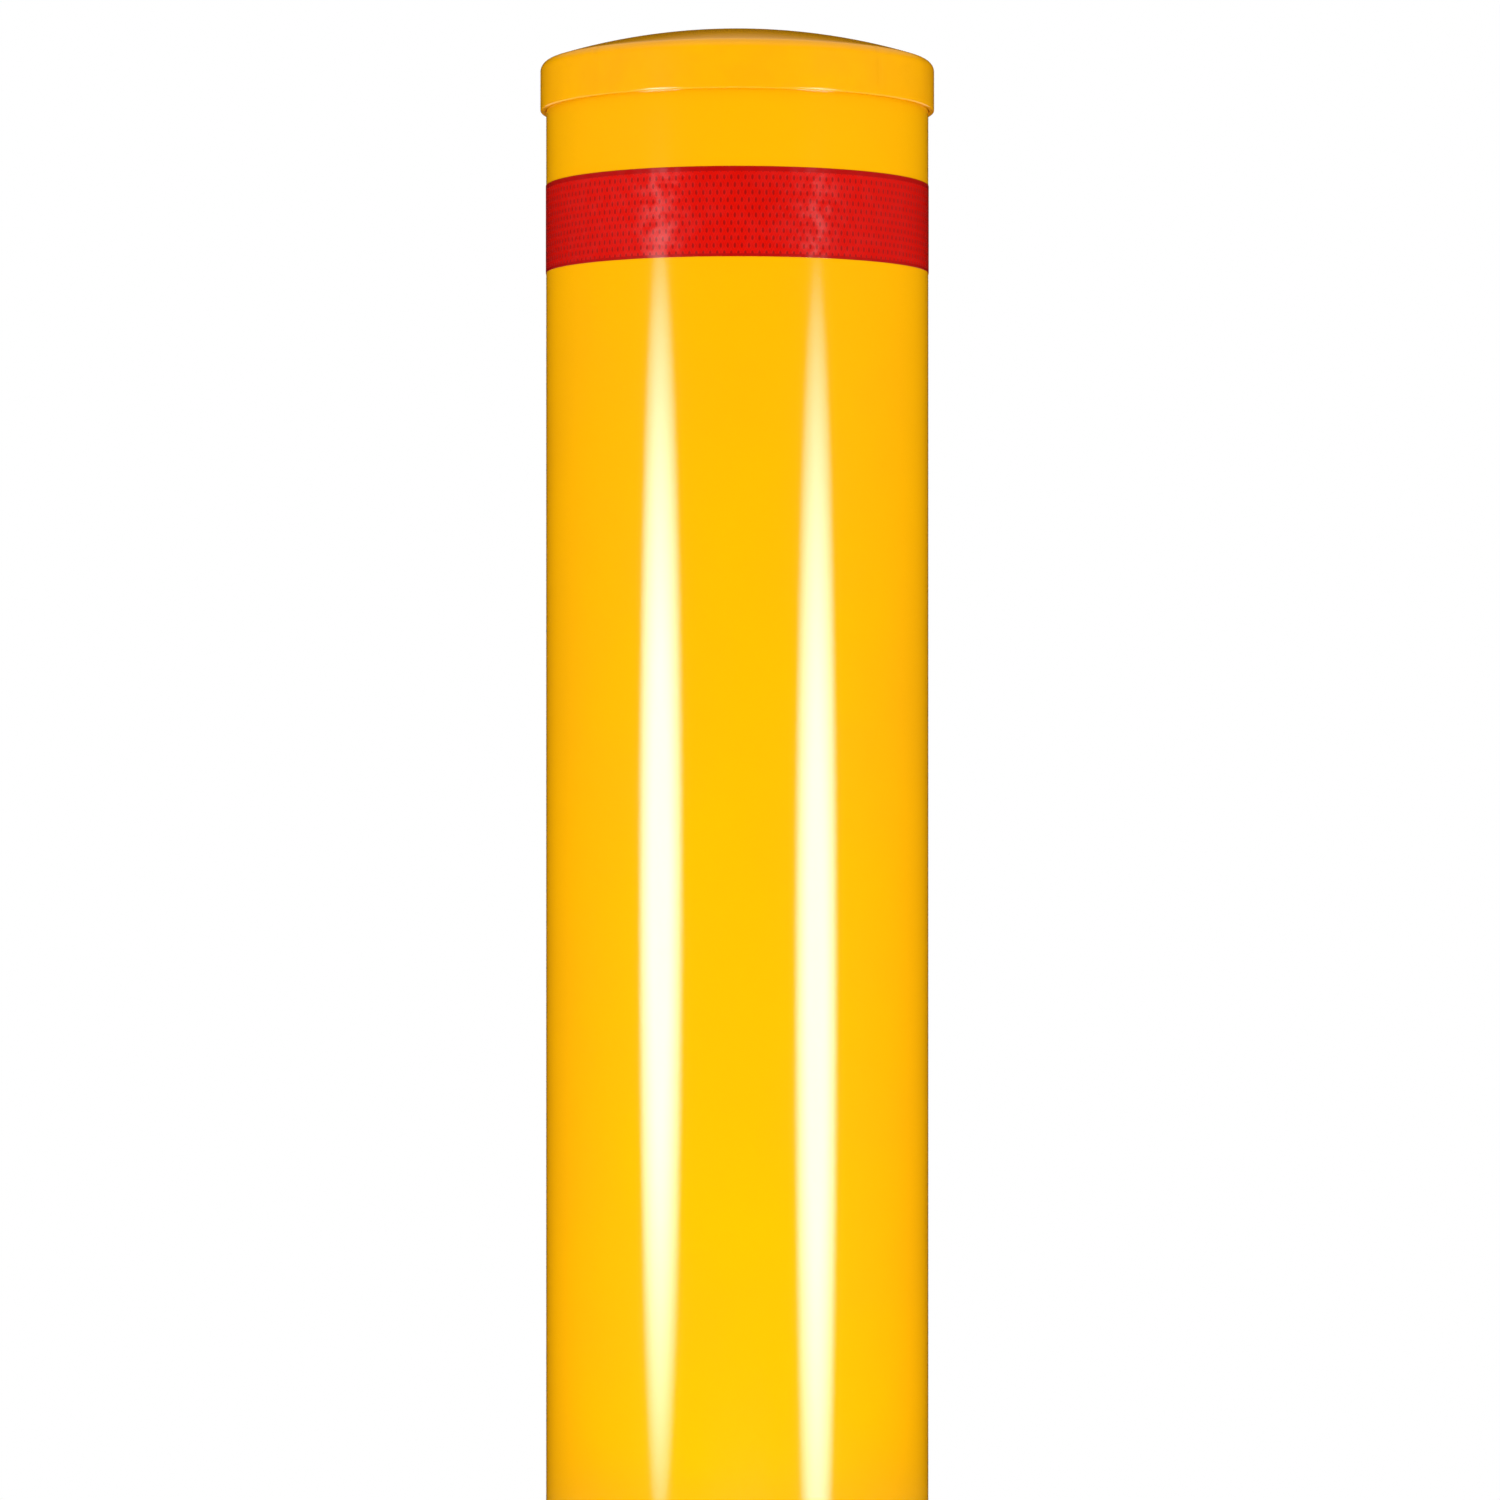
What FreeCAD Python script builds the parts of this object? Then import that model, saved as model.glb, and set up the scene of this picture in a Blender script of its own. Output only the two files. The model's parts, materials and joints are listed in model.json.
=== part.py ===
# Retractable bollard: a gas-sprung steel post that sinks into a casing cast in the ground.
# Frame: +Z up, origin on the post's axis at the finished ground level, post raised.
# All sizes are millimetres.

import FreeCAD
import Part
import Sketcher
import math
import os
import re
from FreeCAD import Vector

# Driving sizes. Each one is a cell of the document's sheet and can be changed by itself.
sizes = {
    # the whole bollard
    "raised_height": 900,  # top of the dome above the ground
    "travel": 880,  # how far the post sinks
    "stop_gap": 0.3,  # left between pieces that meet at a stop
    "running_gap": 0.05,  # radial play of a shaft in its bush
    "thread_gap": 0.1,  # radial play of a screw in its hole
    # post
    "tube_od": 219.1,
    "tube_wall": 6,
    "tube_tail": 55,  # tube left below the middle of the latch
    "tape_drop": 87.5,  # top of the dome down to the reflective band
    "tape_height": 50,
    "tape_thickness": 0.25,
    # cap
    "cap_wall": 3,
    "cap_gap": 0.3,  # between the skirt and the tube
    "dome_radius": 411,
    "corner_radius": 8,
    "cap_depth": 44.8,  # top of the dome down to the skirt's edge
    "cap_seat": 24,  # top of the dome down to the tube's end
    "lip_round": 0.8,
    "rib_count": 6,
    "rib_thickness": 3,
    "rib_reach": 20,
    "boss_radius": 38,
    # lock in the middle of the cap
    "bezel_radius": 33.7,
    "bezel_thickness": 4.8,
    "bezel_sink": 6.5,  # top of the dome down to the bezel's seat
    "bezel_opening": 20,  # radius
    "bezel_floor": 3.5,  # cap wall under the bezel
    "bezel_screw_ring": 28,  # radius
    "bezel_screw_radius": 2,
    "bezel_screw_count": 3,
    "neck_radius": 17,
    "barrel_radius": 12,
    "housing_wall": 4,
    "housing_foot": 40,  # radius
    "housing_flange": 6,
    "housing_screw_ring": 32,  # radius
    "housing_screw_radius": 3,
    "housing_screw_count": 4,
    "cover_radius": 18.5,
    "cover_thickness": 2.5,
    "cover_hinge": 23,  # hinge line behind the axis
    "cover_tongue": 12,
    "hinge_pin_radius": 1,
    "knuckle_radius": 2,
    "keyway_width": 3,
    "keyway_length": 10,
    "keyway_depth": 12,
    # head plate
    "head_plate": 12,
    "head_plate_drop": 26,  # tube's end down to the plate
    "head_hole": 18,  # radius
    # lock shaft and latch
    "shaft_radius": 8,
    "coupling_radius": 14,
    "coupling_length": 29,
    "shaft_pin_radius": 2.5,
    "key_width": 5,
    "bush_wall": 3,
    "bush_flange": 2,
    "collar_radius": 14,
    "collar_length": 10,
    "gear_module": 3,
    "gear_teeth": 16,
    "gear_backlash": 0.3,  # taken off each flank of the pinion
    "bolt_width": 20,
    "bolt_height": 18,
    "bolt_sink": 9.55,  # tube's face in to the bolt's nose when withdrawn
    "bolt_tail": 66,
    "bolt_gap": 0.3,  # around the bolt in its guides
    "slot_gap": 0.5,  # around the bolt in the walls that it passes
    "nose_chamfer": 2,
    "rack_spaces": 9,
    "latch_plate": 8,
    "latch_screw_radius": 4,
    "latch_screw_head": 6.5,
    "latch_screw_near": 45,
    "latch_screw_inset": 23.55,  # tube's bore in to the outer screws
    "guide_start": 33,
    "guide_inset": 9.55,  # tube's bore in to the guides' ends
    "guide_strip": 4.6,
    "guide_strip_inset": 17.5,  # strip's end to the tube's bore
    # foot of the post
    "stop_width": 8,
    "stop_flange": 10,
    "stop_buffer": 12,
    "foot_clear": 4,  # from the struts to the foot ring's bore
    "foot_thickness": 15,
    "foot_ring_gap": 0.8,  # between the lower guide ring and the casing
    "lower_guide": 32,
    "retainer_thickness": 8,
    "retainer_inset": 3.2,
    "foot_screw_radius": 4,
    "foot_screw_count": 6,
    # ground ring and flange
    "ring_od": 400,
    "ring_bore": 230,
    "ring_thickness": 15,
    "ring_chamfer": 2,
    "ring_screw_ring": 175,  # radius
    "ring_screw_radius": 6,
    "ring_screw_length": 32,
    "ring_screw_count": 8,
    "ring_socket": 8,
    "flange_thickness": 20,
    "gusset_drop": 60,
    "gusset_inset": 10,
    "gusset_thickness": 8,
    # guide sleeve in the casing's mouth
    "guide_gap": 0.6,  # around the tube
    "sleeve_flange_od": 300,
    "sleeve_flange": 8,
    "sleeve_depth": 182,
    "sleeve_bore": 236,
    "sleeve_mouth": 252,
    "sleeve_waist": 228,
    "sleeve_gap": 0.4,  # to the casing's bore
    "retainer_level": 27,  # ground down to the wiper's retainer
    "wiper_retainer": 3,
    "wiper_height": 8,
    "wiper_screw_radius": 1.5,
    "wiper_screw_count": 6,
    "bush_height": 42,
    "stop_ring": 10,
    "stop_ring_gap": 1.6,
    "stop_screw_radius": 3,
    "stop_screw_length": 24,
    "stop_screw_count": 6,
    # casing
    "casing_od": 273,
    "casing_wall": 6.3,
    "base_plate_od": 290,
    "base_plate": 10,
    "buffer_height": 20,
    "buffer_radius": 12,
    "buffer_ring": 104,  # radius
    "buffer_count": 4,
    "drain_od": 60.3,
    "drain_wall": 3.2,
    "drain_length": 70,
    "drain_step": 1,  # turned off the pipe's radius, where it passes the plate
    "drain_fit": 0.2,  # radial play there
    "weld_groove": 2,
    "grate_radius": 36,
    "grate_thickness": 4,
    "grate_slot_radius": 3.5,
    "grate_slot_ring": 18,  # radius
    "grate_slot_count": 8,
    "anchor_radius": 8,
    "anchor_reach": 192,
    "anchor_count": 4,
    "anchor_top": 420,  # depth of the upper bars
    "anchor_low": 880,  # depth of the lower bars
    "rail_width": 24,
    "rail_depth": 11,
    "rail_gap": 0.5,
    "rail_clear": 20,
    "keeper_wall": 4,
    "keeper_depth": 16,
    # gas struts
    "strut_od": 28,
    "strut_wall": 2,
    "strut_end": 6,
    "strut_clear": 1.5,  # around the cylinder in the plates that pass it
    "strut_head_gap": 38,
    "rod_radius": 7,
    "rod_stud": 5,
    "rod_thread": 12,
    "nut_across": 17,
    "nut_height": 8,
    "gland_length": 24,
    "piston_length": 20,
    "piston_gap": 0.1,
    "piston_cushion": 10,
    "eye_radius": 9,
    "eye_width": 12,
    "eye_level": 28,  # above the base plate
    "eye_drop": 12,  # cylinder's end down to the eye
    "base_pin_radius": 5,
    "base_pin_length": 32,
    "clevis_wall": 6,
    "clevis_width": 20,
    "clevis_gap": 0.3,
}

# Radii and levels that follow from the sizes.
places = {
    "tube_r": "tube_od / 2",
    "tube_in": "tube_r - tube_wall",
    "bolt_tip": "tube_r - bolt_sink",
    "guide_end": "tube_in - guide_inset",
    "latch_screw_far": "tube_in - latch_screw_inset",
    "drain_r": "drain_od / 2",
    "drain_in": "drain_r - drain_wall",
    "drain_end_r": "drain_r - drain_step",
    "casing_r": "casing_od / 2",
    "casing_in": "casing_r - casing_wall",
    # post, from the top down
    "tube_top": "raised_height - cap_seat",
    "head_top": "tube_top - head_plate_drop",
    "head_bottom": "head_top - head_plate",
    "skirt_bottom": "raised_height - cap_depth",
    "skirt_in": "tube_r + cap_gap",
    "skirt_out": "skirt_in + cap_wall",
    "dome_centre": "raised_height - dome_radius",
    "corner_in": "corner_radius - cap_wall",
    "corner_at": "skirt_out - corner_radius",
    "corner_span": "dome_radius - corner_radius",
    "corner_level": "dome_centre + sqrt(corner_span ^ 2 - corner_at ^ 2)",
    "dome_edge": "corner_at * dome_radius / corner_span",
    "dome_edge_level": "dome_centre + (corner_level - dome_centre) * dome_radius / corner_span",
    "dome_in": "dome_radius - cap_wall",
    "inner_edge": "corner_at * dome_in / corner_span",
    "inner_edge_level": "dome_centre + (corner_level - dome_centre) * dome_in / corner_span",
    "bezel_seat": "raised_height - bezel_sink",
    "bezel_top": "bezel_seat + bezel_thickness",
    "recess_radius": "bezel_radius + cap_gap",
    "recess_level": "dome_centre + sqrt(dome_radius ^ 2 - recess_radius ^ 2)",
    "boss_bottom": "bezel_seat - bezel_floor",
    "boss_level": "dome_centre + sqrt(dome_in ^ 2 - boss_radius ^ 2)",
    "neck_top": "bezel_seat - cap_gap",
    "barrel_top": "neck_top - 0.7",
    "barrel_bottom": "head_top + 16",
    "hinge_level": "bezel_top - knuckle_radius - 0.1",
    "cover_top": "hinge_level + knuckle_radius",
    # stops, latch and foot
    "ring_bottom": "0 - ring_thickness",
    "flange_bottom": "ring_bottom - flange_thickness",
    "sleeve_bottom": "0 - sleeve_depth",
    "stop_face": "sleeve_bottom - stop_ring",
    "buffer_top": "stop_face - stop_gap",
    "stop_top": "buffer_top - stop_buffer",
    "stop_bottom": "stop_top - stop_flange",
    "stop_r": "tube_r + stop_width",
    "bolt_level": "stop_bottom - 12 - bolt_height / 2",
    "bolt_up": "bolt_level + bolt_height / 2",
    "bolt_down": "bolt_level - bolt_height / 2",
    "pinion_up": "bolt_up - 1",
    "pinion_down": "bolt_down + 1",
    "upper_plate_down": "bolt_up + bolt_gap",
    "upper_plate_up": "upper_plate_down + latch_plate",
    "lower_plate_up": "bolt_down - bolt_gap",
    "lower_plate_down": "lower_plate_up - latch_plate",
    "pitch_r": "gear_module * gear_teeth / 2",
    "rack_pitch": "gear_module * pi",
    "rack_tip": "pitch_r - 0.8 * gear_module",
    "rack_root": "pitch_r + 1.25 * gear_module",
    "bolt_back": "rack_tip + bolt_width",
    "strip_back": "bolt_back + bolt_gap + guide_strip",
    "strip_half": "sqrt(tube_in ^ 2 - strip_back ^ 2) - guide_strip_inset",
    "tube_bottom": "bolt_level - tube_tail",
    "foot_bottom": "tube_bottom - retainer_thickness",
    "shaft_bottom": "lower_plate_down - 6",
    "guide_r": "casing_in - foot_ring_gap",
    "retainer_r": "casing_in - retainer_inset",
    # casing
    "rest_level": "foot_bottom - travel - stop_gap",
    "base_top": "rest_level - buffer_height",
    "base_bottom": "base_top - base_plate",
    "rail_back": "sqrt(casing_in ^ 2 - rail_width ^ 2 / 4)",
    "rail_face": "rail_back - rail_depth",
    "notch_face": "rail_face - rail_gap",
    "notch_half": "rail_width / 2 + rail_gap",
    "sleeve_r": "casing_in - sleeve_gap",
    "guide_in": "tube_r + guide_gap",
    "wiper_top": "0 - retainer_level - wiper_retainer",
    "wiper_bottom": "wiper_top - wiper_height",
    "wiper_screw_ring": "(sleeve_bore + sleeve_mouth) / 4",
    "stop_ring_in": "tube_r + stop_ring_gap",
    "stop_screw_ring": "(sleeve_bore / 2 + sleeve_r) / 2",
    # struts
    "strut_r": "strut_od / 2",
    "strut_in": "strut_r - strut_wall",
    "strut_offset": "strip_back + strut_clear + strut_r",
    "foot_bore_r": "strut_offset + strut_r + foot_clear",
    "foot_screw_ring": "(foot_bore_r + tube_in) / 2",
    "strut_top": "head_bottom - travel - strut_head_gap",
    "eye_at": "base_top + eye_level",
    "strut_bottom": "eye_at + eye_drop",
    "piston_top": "strut_top - gland_length - piston_cushion",
    "piston_bottom": "piston_top - piston_length",
}

document = FreeCAD.newDocument("RetractableBollard")
sheet = document.addObject("Spreadsheet::Sheet", "Sizes")
for row, (name, number) in enumerate(sizes.items(), 1):
    sheet.set(f"A{row}", name)
    sheet.set(f"B{row}", str(number))
    sheet.setAlias(f"B{row}", name)
document.recompute()

parts = []


def expand(formula):
    """Write a formula on the names above as one on the sheet's cells."""

    def swap(match):
        word = match.group(0)
        if word in places:
            return "(" + expand(places[word]) + ")"
        return "Sizes." + word if word in sizes else word

    return re.sub(r"[a-z_]+", swap, formula)


def value(formula):
    result = sheet.evalExpression(expand(formula))
    return float(getattr(result, "Value", result))


def bind(item, **formulas):
    for prop, formula in formulas.items():
        item.setExpression(prop.replace("__", "."), expand(formula))


def label(item, name):
    item.Label = name
    parts.append(item)
    return item


# ---- PartDesign helpers ----


def new_body(name):
    body = label(document.addObject("PartDesign::Body", name), name)
    body.AllowCompound = True
    return body


def datum(body, role):
    return next(item for item in body.Origin.OriginFeatures if item.Role == role)


def fix_point(sketch, side, vertex, across, up):
    for kind, formula in (("DistanceX", across), ("DistanceY", up)):
        rule = sketch.addConstraint(Sketcher.Constraint(kind, -1, 1, side, vertex, value(formula)))
        sketch.setExpression(f"Constraints[{rule}]", expand(formula))


def add_circle(sketch, across, up, radius):
    centre = Vector(value(across), value(up), 0)
    side = sketch.addGeometry(Part.Circle(centre, Vector(0, 0, 1), value(radius)), False)
    fix_point(sketch, side, 3, across, up)
    rule = sketch.addConstraint(Sketcher.Constraint("Radius", side, value(radius)))
    sketch.setExpression(f"Constraints[{rule}]", expand(radius))


def add_outline(sketch, corners, arcs=None):
    """Draw a closed line through corners; arcs gives a side's radius, positive with its centre
    on the left of the way along."""
    arcs = arcs or {}
    points = [Vector(value(across), value(up), 0) for across, up in corners]
    sides = []
    for number, start in enumerate(points):
        end = points[(number + 1) % len(points)]
        if number in arcs:
            sign = -1 if arcs[number].startswith("-") else 1
            radius = value(arcs[number].lstrip("-"))
            chord = end - start
            left = Vector(-chord.y, chord.x, 0).normalize()
            rise = math.sqrt(max(radius**2 - chord.Length**2 / 4, 0))
            top = (start + end) / 2 - left * sign * (radius - rise)
            curve = Part.Arc(start, top, end)
        else:
            curve = Part.LineSegment(start, end)
        side = sketch.addGeometry(curve, False)
        first = 1 if sketch.getPoint(side, 1).distanceToPoint(start) < 1e-6 else 2
        sides.append((side, first, 3 - first))
    for number, (side, first, last) in enumerate(sides):
        after, begins, ends = sides[(number + 1) % len(sides)]
        sketch.addConstraint(Sketcher.Constraint("Coincident", side, last, after, begins))
        fix_point(sketch, side, first, *corners[number])
        if number in arcs:
            radius = arcs[number].lstrip("-")
            rule = sketch.addConstraint(Sketcher.Constraint("Radius", side, value(radius)))
            sketch.setExpression(f"Constraints[{rule}]", expand(radius))


def add_axis(sketch, across):
    """A construction line along the sketch's vertical: the axis that a screw is turned about."""
    side = sketch.addGeometry(
        Part.LineSegment(Vector(value(across), 0, 0), Vector(value(across), 10, 0)), True
    )
    fix_point(sketch, side, 1, across, "0")
    fix_point(sketch, side, 2, across, "10")


def new_sketch(body, plane, lift=None, turn=0):
    """A sketch on one of the body's planes, lifted off it or, when upright, turned about Z."""
    sketch = body.newObject("Sketcher::SketchObject", "Sketch")
    sketch.AttachmentSupport = [(datum(body, plane + "_Plane"), "")]
    sketch.MapMode = "FlatFace"
    sketch.AttachmentOffset = FreeCAD.Placement(Vector(), FreeCAD.Rotation(Vector(0, 1, 0), turn))
    if lift:
        bind(sketch, AttachmentOffset__Base__z=lift)
        document.recompute()
    return sketch


def finish(body, feature, cuts=False):
    """Rebuild, and make sure that a cut has taken something away and a pad has added something."""
    before = 0 if body.Shape.isNull() else body.Shape.Volume
    body.Tip = feature
    document.recompute()
    change = body.Shape.Volume - before
    if (change >= 0) if cuts else (change <= 0):
        raise RuntimeError(f"{body.Label}: {feature.Name} changed the volume by {change:.3f}")
    return feature


def turned(body, sketch, axis="V_Axis", cuts=False):
    kind = "PartDesign::Groove" if cuts else "PartDesign::Revolution"
    feature = body.newObject(kind, "Turned")
    feature.Profile = sketch
    feature.ReferenceAxis = (sketch, [axis])
    feature.Angle = 360
    return finish(body, feature, cuts)


def pushed(body, sketch, length, cuts=False, both=False, back=False):
    kind = "PartDesign::Pocket" if cuts else "PartDesign::Pad"
    feature = body.newObject(kind, "Pushed")
    feature.Profile = sketch
    feature.Midplane = both
    feature.Reversed = back
    bind(feature, Length=length)
    return finish(body, feature, cuts)


def polar(body, features, count, cuts=False):
    pattern = body.newObject("PartDesign::PolarPattern", "Around")
    pattern.Originals = features
    pattern.Axis = (datum(body, "Z_Axis"), [""])
    pattern.Angle = 360
    bind(pattern, Occurrences=count)
    return finish(body, pattern, cuts)


def ring(name, inner, outer, bottom, top):
    """A plain ring, or a disc when inner is 0."""
    return shell(name, [(inner, bottom), (outer, bottom), (outer, top), (inner, top)])


def shell(name, corners, arcs=None):
    body = new_body(name)
    sketch = new_sketch(body, "XZ")
    add_outline(sketch, corners, arcs)
    turned(body, sketch)
    return body


def holes(body, across, up, radius, level, depth, count="1", back=False):
    """Drill holes of one size in a circle: downwards from a level, or upwards when back is set."""
    sketch = new_sketch(body, "XY", level)
    add_circle(sketch, across, up, radius)
    cut = pushed(body, sketch, depth, cuts=True, back=back)
    if count != "1":
        polar(body, [cut], count, cuts=True)


def screw_outline(ring_radius, level, shank, length, head, head_height, sign):
    """Half of a screw with a flat or a raised head, drawn from its axis."""
    end = f"{level} - {sign} * ({length})"
    neck = f"{level} - {sign} * ({head_height})"
    return [
        (ring_radius, level),
        (f"{ring_radius} + {head}", level),
        (f"{ring_radius} + {shank}", neck),
        (f"{ring_radius} + {shank}", end),
        (ring_radius, end),
    ]


def flat_screws(name, ring_radius, level, shank, length, count, turn=0, sign=1):
    """Countersunk screws in a circle, their heads flush at a level; sign -1 drives them upwards."""
    body = new_body(name)
    sketch = new_sketch(body, "XZ")
    corners = screw_outline(ring_radius, level, shank, length, f"2 * {shank}", shank, sign)
    add_outline(sketch, corners)
    add_axis(sketch, ring_radius)
    screw = turned(body, sketch, "Axis0")
    socket = new_sketch(body, "XY", level)
    add_outline(socket, hexagon(ring_radius, "0", f"1.3 * {shank}"))
    drive = pushed(body, socket, f"0.9 * {shank}", cuts=True, back=sign < 0)
    polar(body, [screw, drive], count)
    body.Placement = FreeCAD.Placement(Vector(), FreeCAD.Rotation(Vector(0, 0, 1), turn))
    return body


def hexagon(across, up, width):
    half = f"({width}) / 2"
    reach = f"({width}) * 0.57735"
    spots = ((1, 0), (0.5, 1), (-0.5, 1), (-1, 0), (-0.5, -1), (0.5, -1))
    return [(f"{across} + ({a}) * {reach}", f"{up} + ({b}) * {half}") for a, b in spots]


def countersinks(body, ring_radius, level, shank, depth, count, turn=0, sign=1):
    """Cut the seats of flat_screws through a plate."""
    reach = f"{ring_radius} * cos({turn})"
    side = f"{ring_radius} * sin({turn})"
    start = f"{level} + {sign}"
    holes(body, reach, side, f"{shank} + thread_gap", start, f"{depth} + 2", count, back=sign < 0)
    sketch = new_sketch(body, "XZ", turn=turn)
    corners = [
        (ring_radius, level),
        (f"{ring_radius} + 2 * {shank}", level),
        (ring_radius, f"{level} - {sign} * 2 * {shank}"),
    ]
    add_outline(sketch, corners)
    add_axis(sketch, ring_radius)
    cone = turned(body, sketch, "Axis0", cuts=True)
    polar(body, [cone], count, cuts=True)


# ---- casing: everything that stays in the ground ----

ground_ring = shell(
    "ground_ring",
    [
        ("ring_bore / 2", "ring_bottom"),
        ("ring_od / 2", "ring_bottom"),
        ("ring_od / 2", "0 - ring_chamfer"),
        ("ring_od / 2 - ring_chamfer", "0"),
        ("ring_bore / 2 + ring_chamfer / 2", "0"),
        ("ring_bore / 2", "0 - ring_chamfer / 2"),
    ],
)
countersinks(
    ground_ring, "ring_screw_ring", "0", "ring_screw_radius", "ring_thickness", "ring_screw_count"
)
flat_screws(
    "ring_screws",
    "ring_screw_ring",
    "0",
    "ring_screw_radius",
    "ring_screw_length",
    "ring_screw_count",
)

casing_flange = shell(
    "casing_flange",
    [
        ("casing_in", "flange_bottom"),
        ("ring_od / 2", "flange_bottom"),
        ("ring_od / 2", "ring_bottom"),
        ("sleeve_flange_od / 2 + sleeve_gap", "ring_bottom"),
        ("sleeve_flange_od / 2 + sleeve_gap", "ring_bottom - sleeve_flange"),
        ("casing_in", "ring_bottom - sleeve_flange"),
    ],
)
holes(
    casing_flange,
    "ring_screw_ring",
    "0",
    "ring_screw_radius + thread_gap",
    "0",
    "ring_thickness + flange_thickness + 1",
    "ring_screw_count",
)

guide_sleeve = shell(
    "guide_sleeve",
    [
        ("sleeve_bore / 2", "sleeve_bottom"),
        ("sleeve_r", "sleeve_bottom"),
        ("sleeve_r", "ring_bottom - sleeve_flange"),
        ("sleeve_flange_od / 2", "ring_bottom - sleeve_flange"),
        ("sleeve_flange_od / 2", "ring_bottom"),
        ("sleeve_mouth / 2", "ring_bottom"),
        ("sleeve_mouth / 2", "wiper_top"),
        ("sleeve_bore / 2", "wiper_top"),
        ("sleeve_bore / 2", "wiper_bottom - bush_height"),
        ("sleeve_waist / 2", "wiper_bottom - bush_height"),
        ("sleeve_waist / 2", "sleeve_bottom + bush_height"),
        ("sleeve_bore / 2", "sleeve_bottom + bush_height"),
    ],
)
holes(
    guide_sleeve,
    "wiper_screw_ring",
    "0",
    "wiper_screw_radius + thread_gap",
    "wiper_top",
    "12",
    "wiper_screw_count",
)
holes(
    guide_sleeve,
    "stop_screw_ring",
    "0",
    "stop_screw_radius + thread_gap",
    "sleeve_bottom",
    "stop_screw_length - stop_ring + 1",
    "stop_screw_count",
    back=True,
)

ring(
    "upper_guide_bush",
    "guide_in",
    "sleeve_bore / 2",
    "wiper_bottom - bush_height",
    "wiper_bottom",
)
ring(
    "lower_guide_bush",
    "guide_in",
    "sleeve_bore / 2",
    "sleeve_bottom",
    "sleeve_bottom + bush_height",
)

shell(
    "wiper_seal",
    [
        ("guide_in + 2.5", "wiper_bottom"),
        ("sleeve_bore / 2", "wiper_bottom"),
        ("sleeve_bore / 2", "wiper_top"),
        ("guide_in", "wiper_top"),
        ("guide_in", "wiper_top - 1.5"),
    ],
)
wiper_retainer = ring(
    "wiper_retainer",
    "skirt_in + cap_wall + 1",
    "sleeve_mouth / 2 - sleeve_gap",
    "wiper_top",
    "wiper_top + wiper_retainer",
)
countersinks(
    wiper_retainer,
    "wiper_screw_ring",
    "wiper_top + wiper_retainer",
    "wiper_screw_radius",
    "wiper_retainer",
    "wiper_screw_count",
)
flat_screws(
    "wiper_screws",
    "wiper_screw_ring",
    "wiper_top + wiper_retainer",
    "wiper_screw_radius",
    "12",
    "wiper_screw_count",
)

stop_ring = ring("stop_ring", "stop_ring_in", "sleeve_r", "stop_face", "sleeve_bottom")
countersinks(
    stop_ring,
    "stop_screw_ring",
    "stop_face",
    "stop_screw_radius",
    "stop_ring",
    "stop_screw_count",
    sign=-1,
)
flat_screws(
    "stop_ring_screws",
    "stop_screw_ring",
    "stop_face",
    "stop_screw_radius",
    "stop_screw_length",
    "stop_screw_count",
    sign=-1,
)


def bolt_window(gap):
    """The outline, seen along X, that the +X bolt passes through with a gap all round."""
    near = f"0 - rack_tip + {gap}"
    far = f"0 - bolt_back - {gap}"

    def at(level):
        low = f"{level} - bolt_height / 2 - {gap}"
        high = f"{level} + bolt_height / 2 + {gap}"
        return [(far, low), (near, low), (near, high), (far, high)]

    return at


def cut_windows(body, levels, reach):
    """Cut the windows of both bolts through a tube's wall."""
    window = bolt_window("slot_gap")
    sketch = new_sketch(body, "YZ")
    for level in levels:
        add_outline(sketch, window(level))
    cut = pushed(body, sketch, reach, cuts=True, back=True)
    polar(body, [cut], "2", cuts=True)


casing_tube = ring("casing_tube", "casing_in", "casing_r", "base_top", "flange_bottom")
cut_windows(casing_tube, ["bolt_level", "bolt_level - travel"], "casing_od")

gussets = new_body("casing_gussets")
gusset_sketch = new_sketch(gussets, "XZ")
add_outline(
    gusset_sketch,
    [
        ("casing_r", "flange_bottom"),
        ("casing_r", "flange_bottom - gusset_drop"),
        ("casing_r + 8", "flange_bottom - gusset_drop"),
        ("ring_od / 2 - gusset_inset", "flange_bottom - 8"),
        ("ring_od / 2 - gusset_inset", "flange_bottom"),
    ],
)
gusset = pushed(gussets, gusset_sketch, "gusset_thickness", both=True)
polar(gussets, [gusset], "ring_screw_count")
gussets.Placement.Rotation = FreeCAD.Rotation(Vector(0, 0, 1), 180 / sizes["ring_screw_count"])

# The drain's end is turned down to pass the plate, with a groove for the weld under it.
shell(
    "casing_base_plate",
    [
        ("drain_end_r + drain_fit", "base_top"),
        ("base_plate_od / 2", "base_top"),
        ("base_plate_od / 2", "base_bottom"),
        ("drain_r + drain_fit", "base_bottom"),
        ("drain_r + drain_fit", "base_bottom + weld_groove"),
        ("drain_end_r + drain_fit", "base_bottom + weld_groove"),
    ],
)
shell(
    "drain_spigot",
    [
        ("drain_in", "base_bottom - drain_length"),
        ("drain_r", "base_bottom - drain_length"),
        ("drain_r", "base_bottom"),
        ("drain_end_r", "base_bottom"),
        ("drain_end_r", "base_top"),
        ("drain_in", "base_top"),
    ],
)
drain_grate = ring("drain_grate", "0", "grate_radius", "base_top", "base_top + grate_thickness")
holes(
    drain_grate,
    "grate_slot_ring",
    "0",
    "grate_slot_radius",
    "base_top + grate_thickness + 1",
    "grate_thickness + 2",
    "grate_slot_count",
)
holes(
    drain_grate,
    "0",
    "0",
    "grate_slot_radius",
    "base_top + grate_thickness + 1",
    "grate_thickness + 2",
)

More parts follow.
